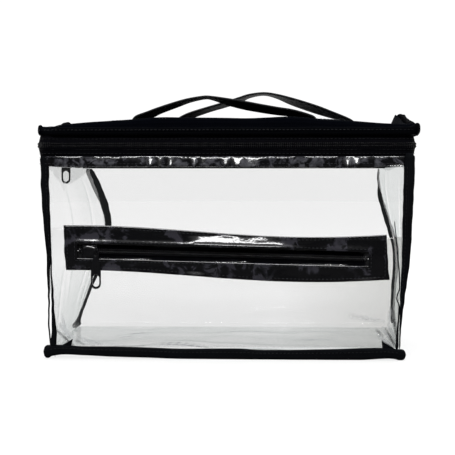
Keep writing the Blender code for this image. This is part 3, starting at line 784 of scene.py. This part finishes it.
# each lip of a corner's tape as (height, aside, half width, half depth), aside from the seam's line
cornerTapes = {
    "front_left": [
        [(.0086, -1.6, .5, .8), (.0227, -2.9, .6, .9), (.0378, -2.0, .6, 1.2),
         (.0529, -1.3, .8, 1.8), (.070, -.4, 1.3, 2.4), (.083, .6, 2.0, 2.7), (.098, .3, 2.5, 2.8),
         (.121, 0, 3.0, 2.9), (.1456, -.3, 3.1, 2.9), (.1540, -.9, 3.3, 3.0)],
        [(.0086, .3, 2.4, 2.4), (.0227, 1.0, 1.8, 2.2), (.0378, 1.0, 1.0, 1.8),
         (.0529, 1.4, .8, 1.5), (.065, 1.5, .5, 1.3), (.078, 2.0, .4, 1.0)],
        [(.0080, 9.0, 5.0, .35), (.0110, 11.5, 3.0, .35), (.0150, 15.0, .3, .3)]],
    "front_right": [
        [(.0086, .5, .5, .8), (.023, .5, .6, 1.2), (.045, .5, 1.7, 1.9), (.074, .5, 3.0, 2.6),
         (.098, -.4, 3.6, 2.9), (.121, -.5, 3.9, 3.0), (.1456, .2, 4.1, 3.0),
         (.1560, 0, 3.9, 3.4)],
        [(.0086, -1.6, 1.2, 1.8), (.022, -1.6, .7, 1.4), (.040, -1.4, .5, 1.2),
         (.0465, -3.6, .45, 1.0), (.0555, -2.4, .45, 1.0), (.081, -6.2, .4, .9),
         (.105, -9.9, .3, .7)],
        [(.0080, -7.6, 4.9, .35), (.0115, -10.0, 2.8, .35), (.0150, -13.0, .3, .3)]],
    "back_left": [
        [(.003, -3.6, 2.4, 1.2), (.006, -1.6, 4.0, 2.0), (.0086, -.4, 2.6, 2.2),
         (.014, .8, 1.6, 2.2), (.0286, 1.7, 1.4, 1.9), (.0511, 2.1, 1.7, 2.0), (.070, 1.0, 2.4, 2.4),
         (.1046, .4, 3.1, 2.7), (.1313, -1.2, 4.4, 2.7), (.1456, -1.1, 3.7, 2.7)]],
    "back_right": [
        [(.0086, .3, 1.8, 2.0), (.020, .2, 1.9, 2.1), (.050, 0.0, 2.3, 2.3), (.080, 0.0, 2.8, 2.6),
         (.105, 0.0, 2.5, 2.4), (.122, 0.0, 2.0, 2.1), (.130, 0.3, 1.2, 1.6), (.1456, 0.6, .9, 1.4)]]}


def addCornerTape(name, lips):
    seam = seams[name]
    bm = bmesh.new()
    for lip in lips:
        shape = throughPoints([(row[0], Vector(row[1:]) * mm) for row in lip])
        low, high = lip[0][0], lip[-1][0]
        if name.startswith("back") or low > 10 * mm:
            high = min(high, wallHigh)

        def place(u, v):
            z = mix(low, high, v)
            aside, halfWide, halfDeep = shape(z)
            end = smooth(min(v, 1 - v) / 0.02) * 0.35 + 0.65
            x, y = oval(u % 1.0, max(halfWide, 0.25 * mm) * end, max(halfDeep, 0.4 * mm) * end, 2.6)
            middle = seam(z)
            crumple = waves((middle.x, middle.y, z), 7 * mm, 0.45 * mm, 2.2)
            return Vector((middle.x + aside + x + crumple, middle.y + y, z))
        joinInto(bm, shapedGrid(28, 110, place, (0.022, high - low), wrap=True))
    finishPiece(name + "_tape", bm, bindingTape, "case", [name + "_binding"])


def addCornerStitches(name, way):
    # one row of stitches down the outer lip, on the side that shows
    seam = seams[name]
    shape = throughPoints([(row[0], Vector(row[1:]) * mm) for row in cornerTapes[name][0]])
    face = -1 if name.startswith("front") else 1
    line = []
    for k in range(60):
        z = mix(wallLow + 30 * mm, wallHigh - 2 * mm, k / 59)
        aside, halfWide, halfDeep = shape(z)
        middle = seam(z)
        line.append((Vector((middle.x + aside - way * halfWide * 0.45,
                             middle.y + face * halfDeep * 0.97, z)), Vector((0, face, 0))))
    addStitchRows(name, [line], thread, "case")


baseTape = {"halfDeep": 2.9 * mm, "bulb": 0.5 * mm, "bulbLong": 5 * mm, "endLong": 3.2 * mm,
            "stitchUp": 1.6 * mm}
# heights of the front tape's top and underside: it lifts off the table left of the middle
baseTop = throughPoints([(-.1345, .0102), (-.1254, .0103), (-.1117, .0093), (-.0889, .0093),
                         (-.0586, .0086), (-.0359, .0079), (.0094, .0082), (.0245, .0073),
                         (.0545, .0075), (.0845, .0083), (.1144, .0093), (.1310, .0083)])
baseUnder = throughPoints([(-.1400, .0002), (-.1360, .0005), (-.1340, .0018), (-.1254, .0030),
                           (-.1117, .0026), (-.0889, .0016), (-.0586, .0009), (-.0359, .0002),
                           (.1000, .0001), (.1200, .0012), (.1262, .0009), (.1290, .0001)])


def addBaseTape():
    low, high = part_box("bottom_binding")
    middle = middleOf("bottom_binding").y
    path = [p for p, way in evenly([Vector((low.x, middle)), Vector((high.x, middle))],
                                   False, 0.8 * mm)]

    def section(point, turn):
        toEnd = min(point.x - low.x, high.x - point.x)
        bulb = baseTape["bulb"] * bell(toEnd - baseTape["endLong"], baseTape["bulbLong"])
        away = 1 - min(toEnd / baseTape["endLong"], 1)
        round_ = math.sqrt(max(1 - away * away, 0.02))
        top, under = baseTop(point.x), baseUnder(point.x)
        crumple = waves(point, 16 * mm, 0.6 * mm, 4.4) + waves(point, 5 * mm, 0.3 * mm, 6.1)
        out, up = oval(turn, (baseTape["halfDeep"] + bulb) * round_, (top - under) / 2 * round_, 3.0)
        # the row of stitches draws the tape in
        pinch = 1 - 0.12 * bell(up - baseTape["stitchUp"], 0.6 * mm)
        return out * pinch + crumple * 0.4, max((top + under) / 2 + up, 0.05 * mm)
    bm = sweep(path, False, section, 30, 22 * mm)
    finishPiece("base_tape", bm, bindingTape, "case", ["bottom_binding"])
    rows = [[(Vector((p.x, middle + face * (baseTape["halfDeep"] + 0.05 * mm),
                      (baseTop(p.x) + baseUnder(p.x)) / 2 + baseTape["stitchUp"])),
              Vector((0, face, 0))) for p in path[6:-6:3]] for face in (-1, 1)]
    addStitchRows("base", rows, thread, "case")


for cornerName, cornerLips in cornerTapes.items():
    addCornerTape(cornerName, cornerLips)
    addCornerStitches(cornerName, -1 if cornerName.endswith("left") else 1)
addBaseTape()
print("bound seams made")


# Rim strip and main zip, round three sides

rim = {"puff": 0.3 * mm, "halfThick": 0.9 * mm, "leftBulge": 3.2 * mm, "corner": 8 * mm,
       "zipOut": 1.6 * mm, "lean": 2.6 * mm, "sideLow": 146 * mm, "lowRow": 148.0 * mm,
       "tapeRows": (155.6 * mm, 158.6 * mm), "upperRow": 166.6 * mm}
rimLow = throughPoints([(-0.141, .1468), (-0.125, .1456), (-0.060, .1458), (0.040, .1454),
                        (0.105, .1449), (0.128, .1474), (0.141, .1492)])
# where the strip bellies out at its foot and leans back, as (from x, to x) in mm
rimLeans = [(-60, -56), (-53, -49), (-45, -41), (-27, -23), (-20, -17), (-4, 1), (4, 11), (14, 24),
            (88, 92), (95, 99)]
rimRun = cornersOf("rim_strip", 0.7 * mm)
rimPath = roundedPath([rimRun[3], rimRun[0], rimRun[1], rimRun[2]], rim["corner"], False, 1.5 * mm)
rimStations = stationsOf(rimPath, False)


def leftBulge(point):
    # the soft zip and its strip stand out round the left front corner, past the slider's run
    along = smooth((-62 * mm - point.y) / (7 * mm))
    return rim["leftBulge"] * smooth((-point.x - 130 * mm) / (5 * mm)) * along


def spanning(x, spans, soft):
    # 1 within any of the spans, falling to 0 over the soft distance beyond their ends
    return max(smooth((x - a) / soft + 0.5) * smooth((b - x) / soft + 0.5) for a, b in spans)


def rimRow(out, height):
    # (point, direction outwards) pairs round the rim, this far out of its line
    return [(p + o * (out + leftBulge(p)) + Vector((0, 0, height)), o)
            for p, o, s in rimStations]


def addRimStrip():
    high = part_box("rim_strip")[1].z

    def section(point, turn):
        low = rimLow(point.x) if point.y < frontPlane + 20 * mm else rim["sideLow"]
        halfUp = (high + 0.6 * mm - low) / 2
        out, up = oval(turn, rim["halfThick"], halfUp, 3.0)
        level = up / halfUp
        puff = rim["puff"] * (1 - level * level)
        wrinkle = waves(point + Vector((0, 0, up)), 11 * mm, 1.5 * mm, 1.3) * (1 - level ** 4)
        lean = 0.0
        if point.y < frontPlane + 2 * mm:
            lean = spanning(point.x / mm, rimLeans, 2.0)
        leaning = lean * rim["lean"] * (1 - level) / 2
        return (out + puff * (1 - lean) + wrinkle * mix(0.7, 0.45, lean) + leaning
                + leftBulge(point), low + halfUp + up)
    bm = sweep(rimPath, False, section, 36, 17 * mm)
    finishPiece("rim_band", bm, rimVinyl, "case", ["rim_strip"])
    rows = [rimRow(1.2 * mm, high - 0.5 * mm), rimRow(1.3 * mm, rim["lowRow"])]
    # the rim's stitches are drawn in the lighter thread: painted highlight
    addStitchRows("rim", rows, highlightThread, "case")


def addZipTape(name, body, low, high, way):
    # way is 1 above the coil and -1 below it; the tape leans out towards the coil
    def section(point, turn):
        halfUp = (high - low) / 2
        out, up = oval(turn, 0.45 * mm, halfUp, 5.0)
        level = (up / halfUp * -way + 1) / 2
        ripple = waves(point + Vector((0, 0, up)), 18 * mm, 0.8 * mm, 2.7)
        lean = mix(0.2 * mm, rim["zipOut"], smooth(level))
        return out + lean + ripple * 0.5 + leftBulge(point), low + halfUp + up
    bm = sweep(rimPath, False, section, 24, 12 * mm)
    finishPiece(name + "_woven", bm, zipTape, body, [name])


coil = {"pitch": 1.5 * mm, "steps": 8, "wire": 0.3 * mm, "deep": 0.85 * mm, "half": 0.95 * mm}


def addCoil(name, body, path, centre, out):
    # one nylon coil as a flattened helix along (point, direction outwards) pairs; its turns
    # reach just past the zip's centre line
    line = spreadOut(path, False, coil["pitch"] / coil["steps"], turning)
    data = bpy.data.curves.new(name, "CURVE")
    data.dimensions = "3D"
    data.bevel_depth, data.bevel_resolution, data.use_fill_caps = coil["wire"], 1, True
    spline = data.splines.new("POLY")
    spline.points.add(len(line) - 1)
    for k, (point, outwards) in enumerate(line):
        angle = 2 * math.pi * k / coil["steps"]
        spot = (point + outwards * (out + coil["deep"] * math.sin(angle))
                + Vector((0, 0, centre(point) + coil["half"] * math.cos(angle))))
        spline.points[k].co = (*spot, 1)
    made = bpy.data.objects.new(name, data)
    bpy.context.scene.collection.objects.link(made)
    mesh = bpy.data.meshes.new_from_object(made)
    bpy.data.objects.remove(made)
    bm = bmesh.new()
    bm.from_mesh(mesh)
    finishPiece(name + "_turns", bm, nylon, body, [name])


def addMainZip():
    meeting = (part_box("lower_zip_coil")[1].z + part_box("upper_zip_coil")[0].z) / 2
    for name, body, way in (("lower", "case", -1), ("upper", "lid", 1)):
        # each tape runs on behind its coil, so that no light comes through the closed zip
        low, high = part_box(name + "_zip_tape")
        ends = sorted((meeting + way * 0.12 * mm, (high.z if way > 0 else low.z) + way * 0.4 * mm))
        addZipTape(name + "_zip_tape", body, ends[0], ends[1], way)
        middle = middleOf(name + "_zip_coil").z
        addCoil(name + "_zip_coil", body, rimRow(0, 0), lambda p: middle - way * 0.25 * mm,
                rim["zipOut"])
    rows = [rimRow(1.5 * mm, height) for height in rim["tapeRows"]]
    addStitchRows("lower_zip", rows, thread, "case")
    addStitchRows("upper_zip", [rimRow(1.2 * mm, rim["upperRow"])], thread, "lid")


def addHingeStrip():
    low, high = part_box("hinge_gusset")
    outline = cornersOf("hinge_gusset", 0.7 * mm)
    path = roundedPath([outline[1], outline[2], outline[3], outline[0]], 3 * mm, False, 1.6 * mm)
    halfUp = (high.z - low.z) / 2

    def section(point, turn):
        out, up = oval(turn, 0.7 * mm, halfUp, 5.0)
        gather = waves(point, 9 * mm, 1.2 * mm, 8.8) * (1 - (up / halfUp) ** 2)
        return out + gather, low.z + halfUp + up
    bm = sweep(path, False, section, 24, 24 * mm)
    finishPiece("hinge_strip", bm, lidCloth, "case", ["hinge_gusset"])
    for name in ("left_zip_end_tab", "right_zip_end_tab"):
        roundedCopy(name, name + "_folded", 0.35 * mm, bindingTape, "case")


def roundedShape(node, radius):
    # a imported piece's shape with its edges rounded off
    bm = bmesh.new()
    bm.from_mesh(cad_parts[node].data)
    bmesh.ops.remove_doubles(bm, verts=bm.verts, dist=1e-6)
    bmesh.ops.dissolve_limit(bm, angle_limit=math.radians(1), verts=bm.verts, edges=bm.edges)
    sharp = [e for e in bm.edges if len(e.link_faces) == 2 and e.calc_face_angle() > 0.6]
    bmesh.ops.bevel(bm, geom=sharp, offset=radius, segments=3, profile=0.5, affect="EDGES",
                    material=-1, clamp_overlap=True)
    return bm


def roundedCopy(node, name, radius, finish, body):
    return finishPiece(name, roundedShape(node, radius), finish, body, [node])


addRimStrip()
addMainZip()
addHingeStrip()
print("rim and main zip made")


# Pocket band and its zip

band = {"thick": 1.0 * mm, "slotHalf": 5.4 * mm, "roll": 0.8 * mm, "rollWide": 1.6 * mm,
        "lean": 2.9 * mm, "leans": (-26, 45), "cells": (170, 42), "margin": 2.2 * mm,
        "besideSlot": 1.8 * mm}
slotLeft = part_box("pocket_upper_coil")[0].x - 3 * mm
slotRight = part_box("pocket_upper_coil")[1].x + 3 * mm


def slotDistance(x, z):
    # distance outside the zip's slot, and below 0 inside it
    beyond = max(slotLeft - x, x - slotRight)
    above = abs(z - pocketZipZ(x)) - band["slotHalf"]
    if beyond > 0 and above > 0:
        return math.hypot(beyond, above)
    return max(beyond, above)


def bandRise(x, z):
    edge = min(z - bandLow(x), bandHigh(x) - z)
    roll = band["roll"] * mix(0.35, 1.0, smooth((z - pocketZipZ(x)) / (6 * mm) + 0.5))
    roll *= 1 - 0.8 * smooth((x - 45 * mm) / (20 * mm))
    rise = roll * bell(slotDistance(x, z) - 1.4 * mm, band["rollWide"])
    rise += waves((x, 0.7, z), 22 * mm, 1.5 * mm, 6.6) * smooth(edge / (4 * mm))
    # over the middle of the zip the band leans back above its slot
    above = z - pocketZipZ(x) - band["slotHalf"]
    if above > 0:
        lean = spanning(x / mm, [band["leans"]], 14.0) * band["lean"]
        rise += lean * smooth(above / (1.2 * mm)) * max(1 - above / (9 * mm), 0)
    return rise


def addBand():
    depth = middleOf("pocket_facing").y

    def place(u, v):
        x = mix(bandLeft, bandRight, u)
        slot = pocketZipZ(x)
        rows = [bandLow(x), slot - band["slotHalf"], slot + band["slotHalf"], bandHigh(x)]
        third = min(int(v * 3), 2)
        z = mix(rows[third], rows[third + 1], v * 3 - third)
        if u in (0.0, 1.0):
            # the cut ends are a little ragged and slant outwards, the left one at its top
            slant = mix(1.3 * mm, -0.9 * mm, v)
            x += waves((x, 0, z), 9 * mm, 0.8 * mm, 3.3) + slant
        return Vector((x, depth - bandRise(x, z), z))
    bm = shapedGrid(*band["cells"], place, (bandRight - bandLeft, 34 * mm))
    cutAway(bm, lambda c: slotDistance(c.x, c.z) < 0)
    finishPiece("pocket_band", bm, patentVinyl, "case", ["pocket_facing"],
                thickness=band["thick"])
    addBandStitches(depth)


def addBandStitches(depth):
    def onBand(x, z):
        lifted = depth - bandRise(x, z) - band["thick"] / 2 - 0.1 * mm
        return Vector((x, lifted, z)), Vector((0, -1, 0))
    count, margin, beside = 120, band["margin"], band["besideSlot"]
    out = band["slotHalf"] + beside
    left, right = slotLeft - beside, slotRight + beside
    across = [mix(bandLeft + margin, bandRight - margin, k / count) for k in range(count + 1)]
    within = [mix(left, right, k / count) for k in range(count + 1)]
    rows = [[onBand(x, bandHigh(x) - margin) for x in across],
            [onBand(x, bandLow(x) + margin) for x in across],
            [onBand(x, pocketZipZ(x) + out) for x in within],
            [onBand(x, pocketZipZ(x) - out) for x in within]]
    for x in (left, right):
        rows.append([onBand(x, pocketZipZ(x) + mix(-out, out, k / 12)) for k in range(13)])
    for x in (bandLeft + margin, bandRight - margin):
        rows.append([onBand(x, mix(bandLow(x) + margin, bandHigh(x) - margin, k / 30))
                     for k in range(31)])
    # the band's stitches are drawn in the lighter thread: painted highlight
    addStitchRows("pocket_band", rows, highlightThread, "case")


def addPocketZip():
    for name, way in (("upper", 1), ("lower", -1)):
        tape = "pocket_" + name + "_tape"
        low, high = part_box(tape)
        depth = middleOf(tape).y

        def place(u, v):
            x = mix(low.x - 5 * mm, high.x + 5 * mm, u)
            near, far = 0.2 * mm, 9.0 * mm
            return Vector((x, depth + waves((x, 0, v), 14 * mm, 0.3 * mm, 1.1),
                           pocketZipZ(x) + way * mix(near, far, v)))
        bm = shapedGrid(120, 8, place, (7 * mm, 0.214))
        finishPiece(tape + "_woven", bm, zipTape, "case", [tape], thickness=0.6 * mm)
        turns = "pocket_" + name + "_coil"
        path = [(Vector((end.x, 0, 0)), Vector((0, -1, 0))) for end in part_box(turns)]
        addCoil(turns, "case", path, lambda p: pocketZipZ(p.x) + way * 0.9 * mm,
                -middleOf(turns).y)
    for name in ("pocket_zip_left_stop", "pocket_zip_right_stop"):
        roundedCopy(name, name + "_crimped", 0.4 * mm, lacquer, "case")


addBand()
addPocketZip()
print("pocket made")


# Lid

lid = {"cells": (120, 64), "levelHalf": 45 * mm, "fall": 5.5 * mm, "fallWide": 97 * mm,
       "shoulder": 6 * mm, "edgingHalf": 1.7 * mm, "stitchUp": 4.0 * mm}
lidBase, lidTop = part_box("lid_panel")[0].z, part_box("lid_panel")[1].z
lidCorners = cornersOf("lid_binding", 1.5 * mm)
# how far a corner of the lid stands up, as (x, y, height, reach along x, reach along y) in mm
lifted = [(-145, 75, 12, 4.5, 55), (144.5, 75, 18.5, 6, 60), (144.5, -15, 5.5, 5.5, 50),
          (-144, -75, 6.2, 3, 7), (-134.5, -73, -2, 5, 22), (142.5, -75, 2.8, 4, 8),
          (-125, 60, -1.2, 10, 40)]


def lidLift(x, y):
    return mm * sum(height * bell(x / mm - cx, reachX) * bell(y / mm - cy, reachY)
                    for cx, cy, height, reachX, reachY in lifted)


def lidCrown(x, y):
    # height of the padded top: level over the middle, falling towards the sides
    fall = lid["fall"] * smooth((abs(x) - lid["levelHalf"]) / lid["fallWide"])
    return lidTop - fall + waves((x, y, 0), 30 * mm, 0.9 * mm, 5.0)


def addLidPad():
    inside = [c + (Vector((0, 0)) - c).normalized() * 1.2 * mm for c in lidCorners]

    def place(u, v):
        # the top and its rounded shoulders; the sides drop to the binding
        near, far = inside[0].lerp(inside[1], u), inside[3].lerp(inside[2], u)
        spot = near.lerp(far, v)
        edge = min(min(u, 1 - u) * 285 * mm, min(v, 1 - v) * 150 * mm)
        shoulder = math.sqrt(max(1 - (1 - min(edge / lid["shoulder"], 1)) ** 2, 0))
        z = mix(lidBase + 2 * mm, lidCrown(spot.x, spot.y), shoulder)
        return Vector((spot.x, spot.y, z + lidLift(spot.x, spot.y)))
    bm = shapedGrid(*lid["cells"], place, (0.285, 0.15))
    # the underside: the rim drawn down to one level and filled
    rimEdges = [e for e in bm.edges if e.is_boundary]
    lowered = bmesh.ops.extrude_edge_only(bm, edges=rimEdges)["geom"]
    for v in (g for g in lowered if isinstance(g, bmesh.types.BMVert)):
        v.co.z = min(v.co.z - 1.6 * mm, lidBase + 0.4 * mm)
    bmesh.ops.holes_fill(bm, edges=bm.edges, sides=0)
    piece = finishPiece("lid_pad", bm, lidCloth, "lid", ["lid_panel"])


def addLidTape():
    path = roundedPath(lidCorners, 10 * mm, True, 1.5 * mm)
    low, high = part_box("lid_binding")

    def section(point, turn):
        lift = lidLift(point.x, point.y)
        halfUp = (high.z - low.z) / 2 + 0.4 * mm + lift * 0.5
        # the front corners curl up whole, the rest only stands taller
        curl = 0.5 * max(lift, 0) * smooth((-point.y - 55 * mm) / (15 * mm))
        crumple = waves(point, 14 * mm, 0.9 * mm, 7.3)
        out, up = oval(turn, lid["edgingHalf"], halfUp, 2.8)
        foot = smooth(0.5 - up / halfUp / 2) * curl
        return (out + crumple * 0.5 + lift * 0.15 * (up > 0 or curl > 0),
                low.z + halfUp + up + crumple * 0.3 + foot)
    bm = sweep(path, True, section, 26, 18 * mm)
    finishPiece("lid_tape", bm, lidEdging, "lid", ["lid_binding"])
    line = [(p + o * (lid["edgingHalf"] + 0.15 * mm) + Vector((0, 0, low.z + lid["stitchUp"])), o)
            for p, o, s in stationsOf(path, True)]
    addStitchRows("lid", [line + line[:1]], thread, "lid")


addLidPad()
addLidTape()
print("lid made")


# Handles

strap = {"half": 11 * mm, "thick": 1.7 * mm, "selvage": 0.35 * mm, "foot": 22 * mm, "cells": (48, 190),
         "bendFrom": 186 * mm, "bendTo": 190 * mm}
# each strap's line as (x, z, roll in degrees, height of its middle over its edges in mm)
strapLines = {
    "front_handle": [(-0.0725, .1850, 4, 0), (-0.0640, .1872, 9, .2), (-0.0555, .1907, 7, .2),
                     (-0.0422, .1953, 5, .3), (-0.0317, .1986, 2, .3), (-0.0198, .2008, 0, .3),
                     (-0.0132, .2002, 2, .3), (-0.0026, .1977, 8, .3), (.0106, .1949, 12, .3),
                     (.0239, .1924, 12, .3), (.0371, .1902, 11, .3), (.0503, .1884, 9, .2),
                     (.0645, .1852, 3, 0)],
    "back_handle": [(-0.0465, .1850, 4, 0), (-0.0400, .1876, 10, .2), (-0.0330, .1909, 8, .2),
                    (-0.0189, .1955, 6, .3), (-0.0060, .1992, 6, .3), (.0066, .2032, 6, .3),
                    (.0151, .2065, 2, .3), (.0270, .2082, 0, .3), (.0378, .2063, 3, .3),
                    (.0519, .2015, 10, .3), (.0688, .1959, 12, .3), (.0802, .1920, 10, .2),
                    (.0995, .1852, 3, 0)]}


def onLid(x, y):
    # where webbing sewn on the lid has its middle
    return lidCrown(x, y) + lidLift(x, y) + strap["thick"] / 2


def addStrap(node):
    middle = middleOf(node).y
    line = strapLines[node]
    for end, way in ((0, -1), (-1, 1)):
        # the sewn foot lies along the lid, from the strap's end outwards
        x = line[end][0]
        foot = [(x + way * step * mm, onLid(x + way * step * mm, middle), 0, 0)
                for step in (4, 10, 16, strap["foot"] / mm)]
        line = foot[::-1] + line if way < 0 else line + foot
    passed, rows = 0.0, []
    for k, row in enumerate(line):
        if k:
            passed += math.hypot(row[0] - line[k - 1][0], row[1] - line[k - 1][1])
        rows.append((passed, Vector((row[0], row[1], math.radians(row[2]), row[3] * mm))))
    shape = throughPoints(rows)

    def place(u, v):
        x, z, roll, crown = shape(passed * v)
        ahead, behind = shape(min(passed * v + 1e-4, passed)), shape(max(passed * v - 1e-4, 0))
        along = Vector((ahead.x - behind.x, 0, ahead.y - behind.y)).normalized()
        across, up = oval(u % 1.0, strap["half"], strap["thick"] / 2, 7.0)
        up += crown * (1 - (across / strap["half"]) ** 2)
        up += strap["selvage"] * bell(abs(across) - strap["half"] + 1.2 * mm, 0.8 * mm) * 0.4
        normal = Vector((-along.z, 0, along.x))
        turned = Matrix.Rotation(-roll, 3, along)
        return (Vector((x, middle, z)) + turned @ Vector((0, 1, 0)) * across
                + turned @ normal * up)
    bm = shapedGrid(*strap["cells"], place, (47 * mm, passed), wrap=True)
    feet = [node + "_left_foot", node + "_right_foot"]
    finishPiece(node + "_strap", bm, webbing, ("lid", node), [node] + feet,
                across=((0, middle, strap["bendFrom"]), (0, middle, strap["bendTo"])))
    for name, x, way in zip(feet, (line[0][0], line[-1][0]), (1, -1)):
        addBoxStitches(name, x + way * 2 * mm, x + way * (strap["foot"] - 3 * mm), middle)


def addBoxStitches(name, left, right, middle):
    # a sewn square with a cross in it
    half = strap["half"] - 2 * mm
    corners = [(left, middle - half), (right, middle - half), (right, middle + half),
               (left, middle + half)]
    rows = []
    for a, b in ((0, 1), (1, 2), (2, 3), (3, 0), (0, 2), (1, 3)):
        spots = [(mix(corners[a][0], corners[b][0], k / 8), mix(corners[a][1], corners[b][1], k / 8))
                 for k in range(9)]
        rows.append([(Vector((x, y, onLid(x, middle) + strap["thick"] / 2 + 0.1 * mm)),
                      Vector((0, 0, 1))) for x, y in spots])
    addStitchRows(name, rows, thread, "lid")


for strapNode in strapLines:
    addStrap(strapNode)
print("handles made")


# Sliders and pulls

slider = {"long": 5.7 * mm, "high": 4.75 * mm, "crown": 1.15 * mm, "plate": 1.8 * mm,
          "narrowing": 0.22, "mainIn": 2.4 * mm, "pocketIn": 2.2 * mm}


def addSliderShells(bm, middle, along):
    # a crowned plate each side of the zip, narrower where the teeth part
    out = along.cross(Vector((0, 0, 1))).normalized()
    turned = Matrix((along, out, out.cross(along) * -1)).transposed().to_4x4()
    for side in (-1, 1):
        shell = bmesh.new()
        bmesh.ops.create_uvsphere(shell, u_segments=36, v_segments=18, radius=1.0)
        for v in shell.verts:
            boxier = Vector([math.copysign(abs(c) ** 0.8, c) for c in v.co])
            tail = 1 - slider["narrowing"] * smooth(boxier.x * 0.5 + 0.5)
            v.co = Vector((boxier.x * slider["long"], boxier.y * slider["crown"]
                           + side * slider["plate"], boxier.z * slider["high"] * tail))
        bmesh.ops.transform(shell, matrix=Matrix.Translation(middle) @ turned, verts=shell.verts)
        joinInto(bm, shell)


def addSlider(node, middle, along):
    bm = roundedShape(node, 0.22 * mm)
    addSliderShells(bm, middle, along)
    finishPiece(node + "_cast", bm, lacquer, node, [node])


mainAt, pocketAt = middleOf("main_slider"), middleOf("pocket_slider")
addSlider("main_slider", Vector((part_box("main_slider")[1].x - slider["mainIn"], mainAt.y, mainAt.z)),
          (rimPath[1] - rimPath[0]).normalized())
addSlider("pocket_slider", Vector((pocketAt.x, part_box("pocket_slider")[1].y - slider["pocketIn"],
                                   pocketZipZ(pocketAt.x))), Vector((1, 0, zipSlope)).normalized())
for pullNode in ("main_pull", "pocket_pull"):
    roundedCopy(pullNode, pullNode + "_cast", 0.25 * mm, lacquer, pullNode)
print("sliders and pulls made")
